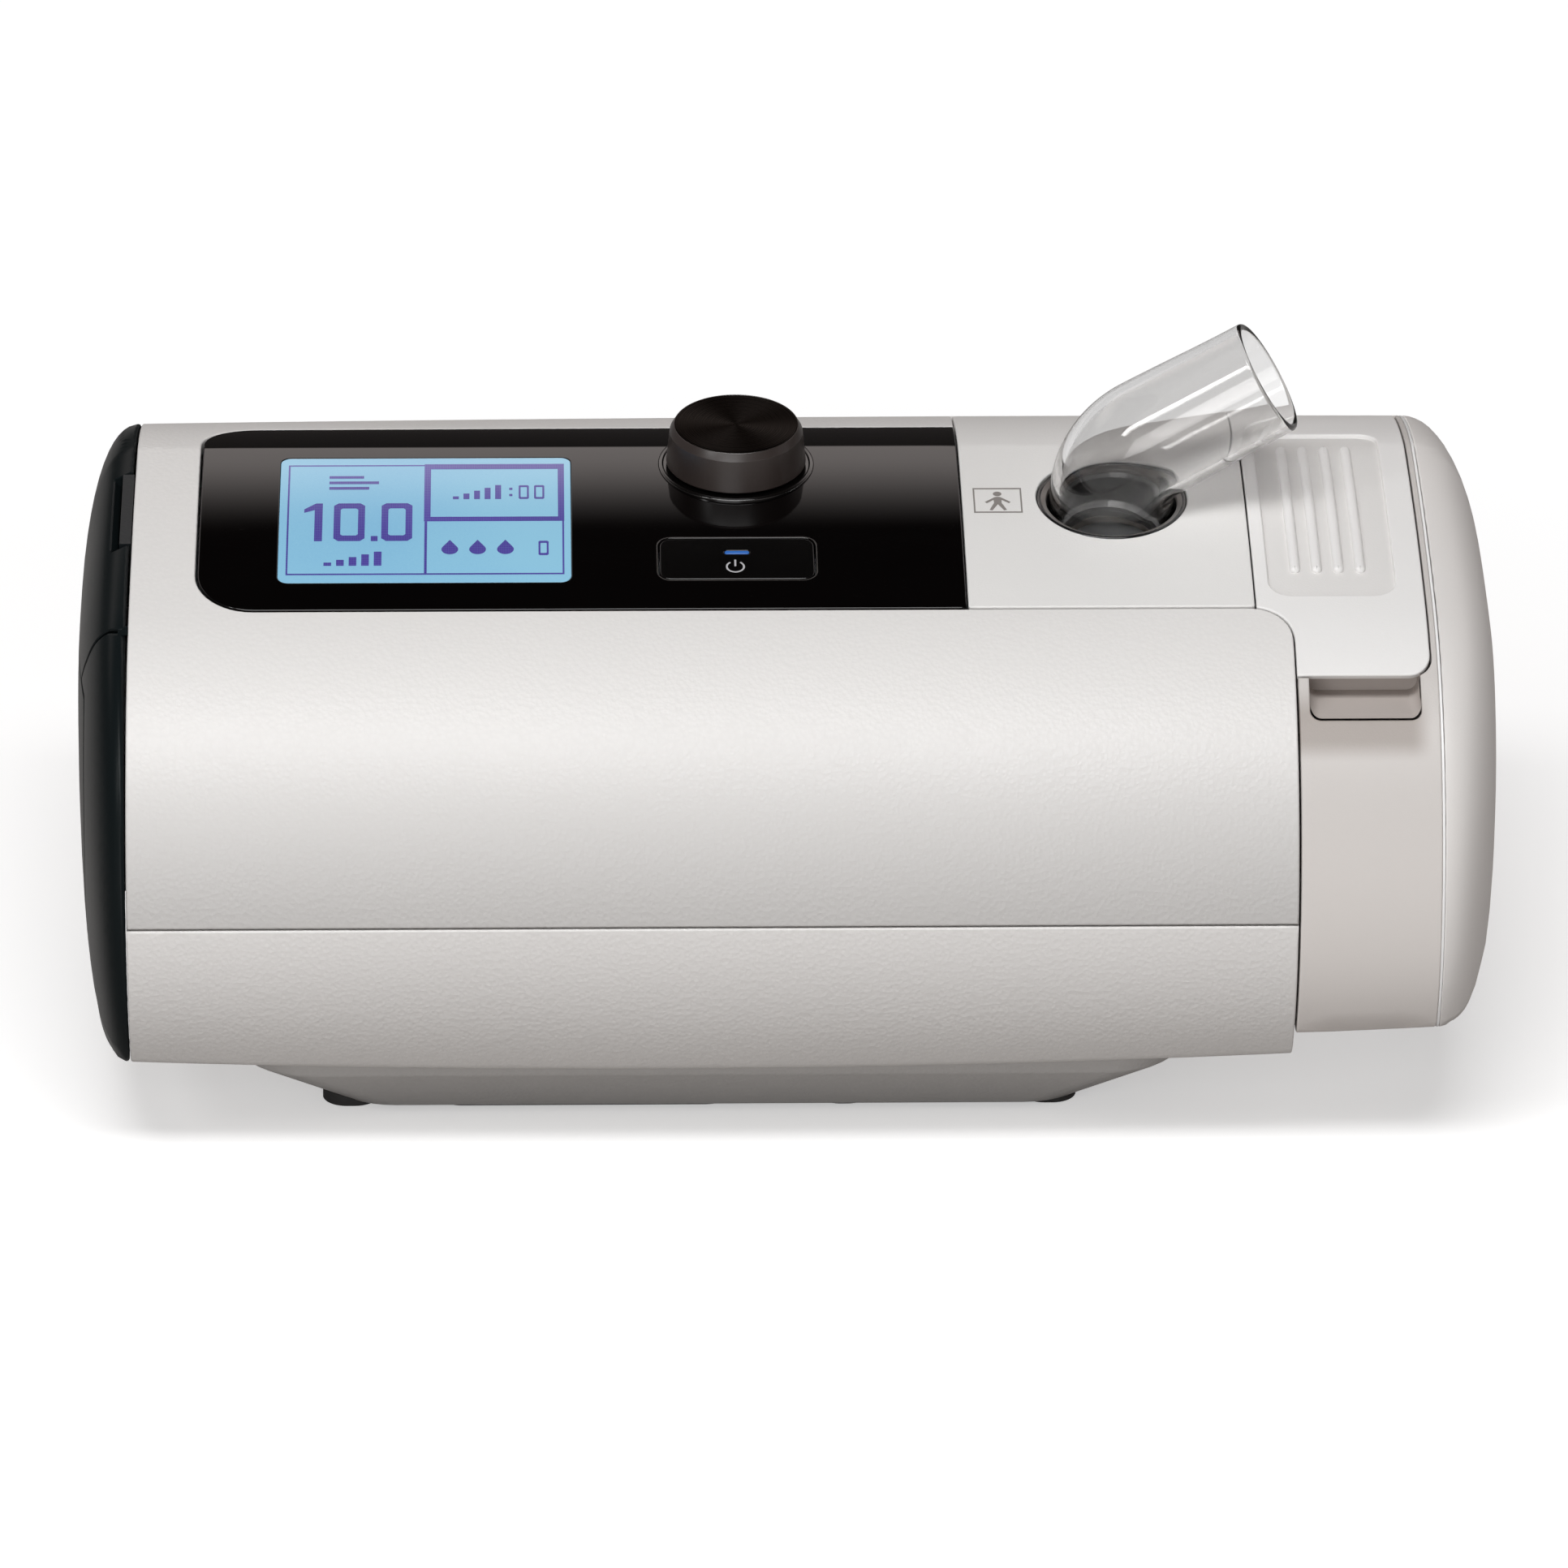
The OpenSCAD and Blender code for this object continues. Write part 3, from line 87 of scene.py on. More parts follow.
class Rail:
    """Cross section as a path: w runs from the crest down the front, under, and up the back."""

    def __init__(self, foot, edge, heel):
        edge_c = arc_centre(on_arc(LOWER_C, 45, foot, -1), edge, foot, -1)
        bottom = edge_c[1] - edge
        heel_c = (BACK_Y - heel, bottom + heel)
        rows = []
        for c, r, a, b, side in (
            (TOP_C, 273, 4, 15.5, -1), (FRONT_C, 54, 15.5, 90, -1), (LOWER_C, 45, 90, foot, -1),
            (edge_c, edge, foot, 180, -1), (heel_c, heel, 180, 90, 1), (BACK_C, 43, 90, 20, 1),
            (CREST_C, 80, 20, 3, 1),
        ):
            n = max(8, int(abs(b - a) * math.pi / 180 * r / 0.4))
            for i in range(n + 1):
                t = a + (b - a) * i / n
                y, z = on_arc(c, r, t, side)
                if not rows or math.dist(rows[-1][:2], (y, z)) > 1e-4:
                    rows.append((y, z, side * sin(t), cos(t)))
        rows = np.array(rows)
        step = np.hypot(np.diff(rows[:, 0]), np.diff(rows[:, 1]))
        self.w = np.concatenate([[0], np.cumsum(step)])
        self.rows = rows
        self.total = self.w[-1]
        self.bottom = bottom
        self.front_end = np.argmin(rows[:, 0])
        self.back_end = np.argmax(rows[:, 0])
        self.middle = self.w[np.argmin(rows[:, 1] + 1e-3 * np.abs(rows[:, 0]))]

    def at(self, w, drop=0.0):
        """Points and normals [y, z, ny, nz] at w, sunk by drop."""
        w = np.asarray(w, float)
        s = np.mod(w, self.total)
        y, z, ny, nz = (np.interp(s, self.w, self.rows[:, k]) for k in range(4))
        near = np.where(s > self.total / 2, s - self.total, s)
        k = np.clip((near + 0.7) / 1.4, 0, 1)
        soft = np.abs(near) < 0.7
        ny = np.where(soft, sin(3) + (-sin(4) - sin(3)) * k, ny)
        nz = np.where(soft, cos(3.5), nz)
        length = np.hypot(ny, nz)
        ny, nz = ny / length, nz / length
        return np.stack([y - drop * ny, z - drop * nz, ny, nz], -1)

    def top_w(self, y):
        """w of a point of the upper side, from its y."""
        f, b = self.front_end, self.back_end
        front = np.interp(-np.asarray(y, float), -self.rows[: f + 1, 0], self.w[: f + 1])
        back = np.interp(-np.asarray(y, float), -self.rows[b:, 0], self.w[b:] - self.total)
        return np.where(np.asarray(y) <= CREST[0], front, back)

    def front_w(self, z):
        f = np.argmin(self.rows[:, 1])
        return float(np.interp(-z, -self.rows[: f + 1, 1], self.w[: f + 1]))

    def back_w(self, z):
        """w of a point of the back, from its z, as a negative number."""
        b = self.back_end - 30
        part = self.rows[b:, 1]
        return float(np.interp(z, part, self.w[b:] - self.total))

    def lines(self, low, high, wide):
        """w of the rows of a mesh: closer together where the section bends more."""
        found, w = [low], low
        while w < high - 0.3:
            a, b = self.at(w), self.at(w + 0.8)
            turn = math.degrees(math.acos(min(1, a[2] * b[2] + a[3] * b[3]))) / 0.8
            w += float(np.clip(7.0 / max(turn, 1e-6), 0.5, wide))
            found.append(min(w, high))
        found += [c for c in (-0.7, 0.0, 0.7) if low < c < high]
        return sorted(set(found))


BODY = Rail(120, 4, 18)
TUB = Rail(112, 3, 14)


def smooth(v):
    v = np.clip(v, 0, 1)
    return v * v * (3 - 2 * v)


def bow(p):
    """The mouldings' slight bow along the body: the back swells a little and so does the belly."""
    x, y, z = p[:, 0], p[:, 1], p[:, 2]
    back = 1.0 + 0.00494 * x - 5.26e-5 * x * x
    belly = -1.34 + 0.00836 * x + 1.974e-4 * x * x
    p = p.copy()
    p[:, 2] += back * smooth((y - 25) / 35) * smooth((z - 45) / 20) + belly * smooth((45 - z) / 25)
    return p


def drape(rail):
    """Surface over the cross section: (x, w) to points and normals."""

    def surface(uv, drop=0.0):
        q = rail.at(uv[:, 1], drop)
        x = uv[:, 0]
        return bow(np.stack([x, q[:, 0], q[:, 1]], -1)), np.stack([0 * x, q[:, 2], q[:, 3]], -1)

    return surface


OVER, TUB_OVER = drape(BODY), drape(TUB)


class Dome:
    """Bulging end: depth (1 - s^p)^(1/q) over the side view, where s is 0 in the middle and 1 at the rim."""

    def __init__(self, rail, x0, out, depth, p, q, mid):
        self.x0, self.out, self.depth, self.p, self.q = x0, out, depth, p, q
        self.mid = np.array(mid)
        rim = rail.rows[:, :2] - self.mid
        angle = np.arctan2(rim[:, 1], rim[:, 0])
        order = np.argsort(angle)
        self.angle = angle[order]
        self.reach = np.hypot(rim[:, 0], rim[:, 1])[order]
        self.normal = rail.rows[order, 2:4]
        s = 1 - np.linspace(0, 1, 400) ** 3
        x = self.bulge(s)
        size = 72.0
        run = np.hypot(np.diff(s) * size, np.diff(x))
        length = np.concatenate([[0], np.cumsum(run)])
        self.share = (1 - length / length[-1])[::-1]
        self.s = s[::-1]

    def bulge(self, s):
        return self.depth * np.power(np.maximum(1 - np.power(s, self.p), 0), 1 / self.q)

    def around(self, uv):
        a = np.arctan2(uv[:, 1] - self.mid[1], uv[:, 0] - self.mid[0])
        reach = np.interp(a, self.angle, self.reach, period=2 * math.pi)
        m = np.stack([np.interp(a, self.angle, self.normal[:, k], period=2 * math.pi) for k in (0, 1)], -1)
        return a, reach, m / np.linalg.norm(m, axis=1, keepdims=True)

    def plan(self, side):
        """Side view [y, z] to the surface's own plane, in which distances along the dome are true."""
        side = np.asarray(side, float)
        _, reach, _ = self.around(side)
        v = side - self.mid
        s = np.hypot(v[:, 0], v[:, 1]) / reach
        share = np.interp(s, self.s, self.share)
        return self.mid + v * (share / np.maximum(s, 1e-6))[:, None]

    def __call__(self, uv, drop=0.0):
        a, reach, m = self.around(uv)
        v = uv - self.mid
        share = np.clip(np.hypot(v[:, 0], v[:, 1]) / reach, 0, 1)
        s = np.interp(share, self.share, self.s)
        x = self.bulge(s)
        d = np.stack([np.cos(a), np.sin(a)], -1)
        side = self.mid + d * (reach * s)[:, None]
        lean = np.power(x / self.depth, self.q - 1) * self.q / self.depth
        flat = self.p * np.power(s, self.p - 1) / np.maximum((m * d).sum(1) * reach, 1e-6)
        n = np.stack([self.out * lean, flat * m[:, 0], flat * m[:, 1]], -1)
        n /= np.maximum(np.linalg.norm(n, axis=1, keepdims=True), 1e-9)
        point = np.stack([self.x0 + self.out * x, side[:, 0], side[:, 1]], -1)
        return bow(point) - n * drop, n


CAP = Dome(BODY, X_LEFT, -1, 10.7, 2.13, 2.53, (5.3, 71.4))
END = Dome(TUB, X_PART, 1, 12.0, 3.34, 2.1, (-10.8, 76.4))


# ---------------------------------------------------------------- outlines
def dense(loop, step=1.6):
    """A closed outline with points at most step apart."""
    out = []
    for a, b in zip(loop, loop[1:] + loop[:1]):
        n = max(1, math.ceil(math.dist(a, b) / step))
        out += [(a[0] + (b[0] - a[0]) * i / n, a[1] + (b[1] - a[1]) * i / n) for i in range(n)]
    return out


def corner(c, r, a, b, n=8):
    return [(c[0] + r * cos(a + (b - a) * i / n), c[1] + r * sin(a + (b - a) * i / n)) for i in range(n + 1)]


def box_loop(x0, y0, x1, y1, r=0.0, n=6):
    """Rectangle with round corners, counterclockwise."""
    if r <= 0:
        return [(x0, y0), (x1, y0), (x1, y1), (x0, y1)]
    return (corner((x1 - r, y0 + r), r, -90, 0, n) + corner((x1 - r, y1 - r), r, 0, 90, n)
            + corner((x0 + r, y1 - r), r, 90, 180, n) + corner((x0 + r, y0 + r), r, 180, 270, n))


def disc_loop(x, y, r, n=72):
    return [(x + r * cos(360 * i / n), y + r * sin(360 * i / n)) for i in range(n)]


def area(loop):
    p = np.array(loop)
    q = np.roll(p, -1, 0)
    return 0.5 * float((p[:, 0] * q[:, 1] - q[:, 0] * p[:, 1]).sum())


def oriented(loop, sign=1):
    return list(loop) if area(loop) * sign > 0 else list(loop)[::-1]


def on_top_loop(loop, rail=None):
    """An outline given in plan [x, y] as [x, w] on the upper side, counterclockwise."""
    rail = rail or BODY
    loop = dense(list(loop), 1.2)
    w = rail.top_w(np.array([p[1] for p in loop]))
    return oriented([(p[0], float(v)) for p, v in zip(loop, w)])


def moved_in(loop, e):
    """The outline drawn into the material, which lies on its left, by e."""
    p = np.array(loop, float)
    d0 = p - np.roll(p, 1, 0)
    d1 = np.roll(p, -1, 0) - p
    d0 /= np.maximum(np.linalg.norm(d0, axis=1, keepdims=True), 1e-9)
    d1 /= np.maximum(np.linalg.norm(d1, axis=1, keepdims=True), 1e-9)
    n0 = np.stack([-d0[:, 1], d0[:, 0]], -1)
    n1 = np.stack([-d1[:, 1], d1[:, 0]], -1)
    m = (n0 + n1) / np.maximum(1 + (n0 * n1).sum(1, keepdims=True), 0.35)
    return p + m * e, -(n0 + n1) / np.maximum(np.linalg.norm(n0 + n1, axis=1, keepdims=True), 1e-9)


def inside(points, loops):
    hit = np.zeros(len(points), bool)
    for loop in loops:
        a = np.asarray(loop, float)
        b = np.roll(a, -1, 0)
        for (x0, y0), (x1, y1) in zip(a, b):
            if y0 == y1:
                continue
            cross = (points[:, 1] >= min(y0, y1)) & (points[:, 1] < max(y0, y1))
            hit ^= cross & (points[:, 0] < x0 + (points[:, 1] - y0) * (x1 - x0) / (y1 - y0))
    return hit


def triangles(loops, grid):
    """Fills outlines: returns points, triangles and, for each outline, the indices of its points."""
    edge_points = np.concatenate([np.asarray(l, float) for l in loops])
    extra = grid[inside(grid, loops)]
    if len(extra):
        keep = np.ones(len(extra), bool)
        for k in range(0, len(extra), 2000):
            part = extra[k:k + 2000]
            near = ((part[:, None, :] - edge_points[None]) ** 2).sum(-1).min(1)
            keep[k:k + 2000] = near > 0.35
        extra = extra[keep]
    verts = np.concatenate([edge_points, extra])
    edges, at = [], 0
    for l in loops:
        n = len(l)
        edges += [(at + i, at + (i + 1) % n) for i in range(n)]
        at += n
    out, _, faces, orig, _, _ = delaunay_2d_cdt([Vector(v) for v in verts], edges, [], 0, 1e-7)
    out = np.array([tuple(v) for v in out])
    faces = np.array([f for f in faces if len(f) == 3])
    faces = faces[inside(out[faces].mean(1), loops)]
    index = {}
    for j, names in enumerate(orig):
        for i in names:
            index[i] = j
    rings, at = [], 0
    for l in loops:
        rings.append([index[at + i] for i in range(len(l))])
        at += len(l)
    return out, faces, rings


def cells(curves, kinds):
    """Cuts the plane along closed and open curves and returns the outlines of every kind of cell."""
    verts, edges = [], []
    for points, closed in curves:
        at, n = len(verts), len(points)
        verts += [Vector(p) for p in points]
        edges += [(at + i, at + (i + 1) % n) for i in range(n if closed else n - 1)]
    out, _, faces, _, _, _ = delaunay_2d_cdt(verts, edges, [], 0, 1e-5)
    out = np.array([tuple(v) for v in out])
    faces = [f for f in faces if len(f) == 3]
    kind = kinds(out[np.array(faces)].mean(1))
    found = {}
    for name in set(kind) - {""}:
        border = {}
        for f, k in zip(faces, kind):
            if k == name:
                for a, b in ((f[0], f[1]), (f[1], f[2]), (f[2], f[0])):
                    if (b, a) in border:
                        del border[(b, a)]
                    else:
                        border[(a, b)] = True
        follow = {a: b for a, b in border}
        loops = []
        while follow:
            start = next(iter(follow))
            loop, at = [], start
            while at in follow:
                loop.append(tuple(out[at]))
                at = follow.pop(at)
            if abs(area(loop)) > 0.5:
                loops.append(loop)
        found[name] = loops
    return found


# ---------------------------------------------------------------- meshes
class Form:
    """Points, faces and normals of one piece, gathered patch by patch."""

    def __init__(self):
        self.points, self.normals, self.faces, self.paint = [], [], [], []
        self.count = 0

    def add(self, points, normals, faces, paint=0):
        self.points.append(np.asarray(points, float))
        self.normals.append(np.asarray(normals, float))
        self.faces += [tuple(int(i) + self.count for i in f) for f in faces]
        self.paint += [paint] * len(faces)
        self.count += len(points)
        return self

    def sheet(self, surface, loops, depth=2.2, edge=0.4, grid=None, rows=3, lift=0.0, paint=0, under=True):
        """A shell of given depth on a surface, with round edges; material lies left of every outline."""
        loops = [oriented(loops[0])] + [oriented(l, -1) for l in loops[1:]]
        if grid is None:
            p = np.array(loops[0])
            (x0, w0), (x1, w1) = p.min(0), p.max(0)
            xs, ws = np.arange(x0 + 2, x1 - 1, 4.0), np.arange(w0 + 2, w1 - 1, 4.0)
            grid = np.array([(x, w) for x in xs for w in ws]).reshape(-1, 2)
        inner = [moved_in(l, edge)[0] for l in loops]
        flat, faces, rings = triangles(inner, grid)
        top, normal = surface(flat, -lift)
        points, normals, quads = [top], [normal], []
        base = len(flat)
        for loop, ring in zip(loops, rings):
            n = len(loop)
            _, away = moved_in(loop, 0.0)
            last = np.array(ring)
            for k in range(1, rows + 2):
                t = 90 * (1 - min(k, rows) / rows)
                drop = edge * (1 - sin(t)) if k <= rows else depth
                at = moved_in(loop, edge * (1 - cos(t)))[0] if k <= rows else np.array(loop)
                p, m = surface(at, drop - lift)
                ahead, _ = surface(at + away * 0.02, drop - lift)
                side = ahead - p
                side -= m * (side * m).sum(1, keepdims=True)
                side /= np.maximum(np.linalg.norm(side, axis=1, keepdims=True), 1e-9)
                points.append(p)
                normals.append(m * sin(t) + side * cos(t) if k <= rows else side)
                row = base + np.arange(n)
                base += n
                quads += [(last[(i + 1) % n], last[i], row[i], row[(i + 1) % n]) for i in range(n)]
                last = row
            if under:
                # the rim turns in under the shell
                p, m = surface(np.array(loop), depth - lift)
                q, _ = surface(moved_in(loop, min(3.0, 3 * edge))[0], depth - lift)
                points += [p, q]
                normals += [-m, -m]
                a, b = base + np.arange(n), base + n + np.arange(n)
                base += 2 * n
                quads += [(a[(i + 1) % n], a[i], b[i], b[(i + 1) % n]) for i in range(n)]
        a, b, c = (top[faces[:, k]] for k in range(3))
        turned_over = float((np.cross(b - a, c - a) * normal[faces[:, 0]]).sum()) < 0
        all_faces = [tuple(f) for f in faces] + quads
        if turned_over:
            all_faces = [f[::-1] for f in all_faces]
        return self.add(np.concatenate(points), np.concatenate(normals), all_faces, paint)

    def loft(self, rings, normals=None, closed=True, paint=0, flip=False):
        """Joins rings of points of equal count."""
        n = len(rings[0])
        pts = np.concatenate([np.asarray(r, float) for r in rings])
        quads = []
        for k in range(len(rings) - 1):
            for i in range(n if closed else n - 1):
                j = (i + 1) % n
                q = (k * n + i, k * n + j, (k + 1) * n + j, (k + 1) * n + i)
                quads.append(q[::-1] if flip else q)
        if normals is None:
            normals = np.zeros_like(pts)
            for q in quads:
                a, b, c, d = (pts[i] for i in q)
                m = np.cross(c - a, d - b)
                for i in q:
                    normals[i] += m
            normals /= np.maximum(np.linalg.norm(normals, axis=1, keepdims=True), 1e-9)
        else:
            normals = np.concatenate([np.asarray(r, float) for r in normals])
        return self.add(pts, normals, quads, paint)

    def lid(self, ring, normal, paint=0):
        """Closes a flat ring with a fan."""
        ring = np.asarray(ring, float)
        pts = np.concatenate([ring, ring.mean(0)[None]])
        n = len(ring)
        m = np.cross(ring[1] - ring[0], pts[-1] - ring[0])
        turn = float(np.dot(m, normal)) < 0
        faces = [((i + 1) % n, i, n) if turn else (i, (i + 1) % n, n) for i in range(n)]
        return self.add(pts, np.tile(normal, (n + 1, 1)), faces, paint)

    def build(self, name, body, finishes, slot, replaces=()):
        pts = np.concatenate(self.points) * MM
        nor = np.concatenate(self.normals)
        mesh = bpy.data.meshes.new(name)
        mesh.from_pydata([tuple(p) for p in pts], [], self.faces)
        for f in finishes:
            mesh.materials.append(f)
        mesh.polygons.foreach_set("material_index", self.paint)
        mesh.polygons.foreach_set("use_smooth", [True] * len(mesh.polygons))
        mesh.normals_split_custom_set_from_vertices([tuple(n) for n in nor])
        mesh.update()
        obj = bpy.data.objects.new(name, mesh)
        bpy.context.scene.collection.objects.link(obj)
        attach(obj, body)
        if replaces:
            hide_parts(*replaces)
        return obj


def on_top(x, y):
    """Frame on the sloping top, in millimetres: its z axis is the outward normal."""
    tilt = math.degrees(math.asin((TOP_C[0] - y) / 273))
    z = TOP_C[1] + 273 * cos(tilt)
    return np.array([x, y, z]), np.array([[1, 0, 0], [0, cos(tilt), -sin(tilt)], [0, sin(tilt), cos(tilt)]])


def placed(points, at):
    origin, turn = at
    return np.asarray(points, float) @ turn.T + origin


def rounded_profile(corners, n=5):
    """Profile [r, z] with round corners: corners are (r, z, radius)."""
    out = []
    last = len(corners) - 1
    for i, (r, z, radius) in enumerate(corners):
        p = np.array([r, z], float)
        if radius <= 0 or i in (0, last):
            out.append(p)
            continue
        a = np.array(corners[i - 1][:2], float) - p
        b = np.array(corners[i + 1][:2], float) - p
        la, lb = np.linalg.norm(a), np.linalg.norm(b)
        a, b = a / la, b / lb
        half = math.acos(max(-1, min(1, float(a @ b)))) / 2
        cut = min(radius / math.tan(half), 0.49 * la, 0.49 * lb)
        p0, p1 = p + a * cut, p + b * cut
        for k in range(n + 1):
            t = k / n
            out.append((1 - t) ** 2 * p0 + 2 * t * (1 - t) * p + t * t * p1)
    return np.array(out)


def turned(form, profile, at, n=96, paint=0, split=32):
    """Turns a profile [r, z] about the frame's z axis; the outer side is on its right as z rises."""
    p = np.asarray(profile, float)
    d = np.diff(p, axis=0)
    d /= np.maximum(np.linalg.norm(d, axis=1, keepdims=True), 1e-9)
    m = np.stack([d[:, 1], -d[:, 0]], -1)
    angles = [360 * i / n for i in range(n)]
    groups, group = [], [0]
    for i in range(1, len(p) - 1):
        group.append(i)
        if math.degrees(math.acos(max(-1, min(1, float(m[i - 1] @ m[i]))))) > split:
            groups.append(group)
            group = [i]
    groups.append(group + [len(p) - 1])
    origin, turn = at
    for g in groups:
        rings, normals = [], []
        for i in g:
            a = m[i - 1] if i > g[0] else m[i]
            b = m[i] if i < g[-1] else m[i - 1]
            k = (a + b) / max(np.linalg.norm(a + b), 1e-9)
            rings.append(placed([(p[i, 0] * cos(t), p[i, 0] * sin(t), p[i, 1]) for t in angles], at))
            normals.append(np.array([(k[0] * cos(t), k[0] * sin(t), k[1]) for t in angles]) @ turn.T)
        form.loft(rings, normals, paint=paint)
    return form


# ---------------------------------------------------------------- finishes
def feed(tree, socket, item):
    if isinstance(item, Value):
        tree.links.new(item.socket, socket)
    else:
        socket.default_value = item


class Value:
    """A socket of a material; arithmetic on it adds the Math nodes it needs."""

    def __init__(self, tree, socket):
        self.tree, self.socket = tree, socket

    def math(self, operation, *items):
        node = self.tree.nodes.new("ShaderNodeMath")
        node.operation = operation
        for socket, item in zip(node.inputs, items):
            feed(self.tree, socket, item)
        return Value(self.tree, node.outputs[0])

    def __add__(self, other):
        return self.math("ADD", self, other)

    __radd__ = __add__

    def __mul__(self, other):
        return self.math("MULTIPLY", self, other)

    __rmul__ = __mul__

    def __sub__(self, other):
        return self.math("SUBTRACT", self, other)

    def __rsub__(self, other):
        return self.math("SUBTRACT", other, self)

    def __truediv__(self, other):
        return self.math("DIVIDE", self, other)

    def __pow__(self, other):
        return self.math("POWER", self, other)

    def most(self, other):
        return self.math("MAXIMUM", self, other)

    def wave(self):
        return self.math("SINE", self)

    def size(self):
        return self.math("ABSOLUTE", self)


class Web:
    """The nodes of a material or of the surroundings."""

    def __init__(self, tree):
        self.tree = tree

    def node(self, kind, settings=None, inputs=None, out=0):
        node = self.tree.nodes.new(kind)
        for key, value in (settings or {}).items():
            if key == "stops":
                ramp = node.color_ramp.elements
                while len(ramp) < len(value):
                    ramp.new(0.5)
                for element, (at, colour) in zip(ramp, value):
                    element.position, element.color = at, colour
            else:
                setattr(node, key, value)
        for key, value in (inputs or {}).items():
            feed(self.tree, node.inputs[key], value)
        return Value(self.tree, node.outputs[out])

    def between(self, value, low, high):
        """0 at low, 1 at high, smooth between."""
        if low > high:
            return 1.0 - self.between(value, high, low)
        return self.node("ShaderNodeMapRange", {"interpolation_type": "SMOOTHSTEP"}, {
            "Value": value, "From Min": low, "From Max": high})

    def mix(self, share, a, b):
        as_colour = lambda c: c if isinstance(c, Value) else (*c, 1.0)
        return self.node("ShaderNodeMix", {"data_type": "RGBA"}, {
            0: share, 6: as_colour(a), 7: as_colour(b)}, out=2)


class Finish(Web):
    """One procedural material around a Principled shader, with lengths in millimetres."""

    def __init__(self, name, **fixed):
        self.material = bpy.data.materials.new(name)
        self.material.use_nodes = True
        super().__init__(self.material.node_tree)
        self.shader = self.tree.nodes["Principled BSDF"]
        for key, value in fixed.items():
            self.shader.inputs[key.replace("_", " ")].default_value = value
        self.place = self.node("ShaderNodeTexCoord", out="Object")

    def noise(self, wide, detail=2.0, rough=0.5):
        """Noise whose features are about wide millimetres across."""
        return self.node("ShaderNodeTexNoise", None, {
            "Vector": self.place, "Scale": 1000.0 / wide, "Detail": detail, "Roughness": rough})

    def cells(self, wide, smoothness=0.35):
        return self.node("ShaderNodeTexVoronoi", {"feature": "SMOOTH_F1"}, {
            "Vector": self.place, "Scale": 1000.0 / wide, "Smoothness": smoothness})

    def axis(self, which):
        """x, y or z in millimetres."""
        return self.node("ShaderNodeSeparateXYZ", None, {0: self.place}, out=which) * 1000.0

    def set(self, **links):
        for key, value in links.items():
            feed(self.tree, self.shader.inputs[key.replace("_", " ")], value)
        return self

    def bump(self, height, depth, strength=1.0):
        """Relief of the given depth in millimetres."""
        return self.set(Normal=self.node("ShaderNodeBump", None, {
            "Strength": strength, "Distance": depth * MM, "Height": height}, out="Normal"))


def moulded(name, colour, rough, grain=0.5, relief=0.03, tone=0.05, mottled=30.0, sheen=0.0, coat=0.0, **fixed):
    """Moulded plastic: fine grain, slow tone changes and a slightly uneven gloss."""
    f = Finish(name, Coat_Weight=coat, Coat_Roughness=0.12, **fixed)
    slow, fine = f.noise(mottled, 3), f.noise(grain, 2)
    deep = tuple(c * (1 - tone) for c in colour)
    f.set(Base_Color=f.mix(slow * 0.6 + fine * 0.4, deep, colour), Roughness=slow * 0.08 + fine * 0.06 + rough - 0.07)
    return f.bump(fine, relief, 0.6)


def shaded_band(name, colour):
    """Frosted plastic with painted shade: darker towards the top, and a painted shadow under the finger pocket."""
    f = Finish(name)
    slow, fine = f.noise(30.0, 3), f.noise(0.4, 2)
    x, y, z = (f.axis(k) for k in range(3))
    # painted shadow: the band is darkened under the finger pocket
    painted_pocket_shadow = f.between(x, 117.0, 112.5) * f.between(z, 77.0, 80.5) * f.between(z, 88.0, 83.5) * f.between(y, -20, -40)
    # painted shade: a lighter and a darker copy of the colour, mixed by height so that the band darkens towards the top
    light, dark = tuple(c * 1.08 for c in colour), tuple(c * 0.86 for c in colour)
    plain = f.mix(f.between(z, 38.0, 80.0) * 0.85 + slow * 0.1 + fine * 0.05, light, dark)
    f.set(Base_Color=f.mix(painted_pocket_shadow * 0.6, plain, (0.24, 0.19, 0.16)), Roughness=slow * 0.08 + fine * 0.06 + 0.39)
    return f.bump(fine, 0.04, 0.6)


def leather_grained(name, colour, rough, pebble=0.9, relief=0.06):
    """Moulded plastic with a fine leather grain, and painted shade: darker from the brow down to the seam of the shells
    and towards the foot.
    """
    f = Finish(name)
    pits, fine, slow, z = f.cells(pebble), f.noise(0.35, 2), f.noise(45.0, 3), f.axis(2)
    grain = pits * 0.8 + fine * 0.35
    # painted shade: this mask darkens the colour from the brow down to the seam, and again towards the foot
    deep = f.between(z, 90.0, 51.0) * f.between(z, SEAM_Z - 0.1, SEAM_Z + 0.1) + f.between(z, 21.0, 12.0)
    plain = f.mix(slow * 0.5 + pits * 0.5, colour, tuple(c * 0.95 for c in colour))
    f.set(Base_Color=f.mix(deep, plain, tuple(c * 0.72 for c in colour)),
          Roughness=pits * 0.1 + slow * 0.06 + rough - 0.08)
    return f.bump(grain, relief, 0.55)


def polished(name, colour, rough=0.06, haze=0.08, ior=1.49):
    """Polished dark plastic with faint haze from wiping."""
    f = Finish(name, IOR=ior)
    wiped = f.node("ShaderNodeTexNoise", None, {"Vector": f.node(
        "ShaderNodeMapping", None, {0: f.place, 3: (0.4, 1.0, 1.0)}), "Scale": 90.0, "Detail": 4.0})
    dust = f.noise(0.8, 1)
    f.set(Base_Color=f.mix(wiped * 0.5 + f.between(dust, 0.68, 0.8) * 0.3, colour, tuple(c * 1.25 + 0.001 for c in colour)),
          Roughness=wiped * haze + rough - haze / 2 + f.between(dust, 0.7, 0.8) * 0.05)
    return f.bump(wiped, 0.01, 0.2)


def metal(name, colour, rough, grain=0.6):
    f = Finish(name, Metallic=1.0)
    fine, slow = f.noise(grain, 3), f.noise(12.0, 2)
    f.set(Base_Color=f.mix(slow, tuple(c * 0.85 for c in colour), colour), Roughness=fine * 0.12 + rough - 0.05)
    return f.bump(fine, 0.01, 0.4)


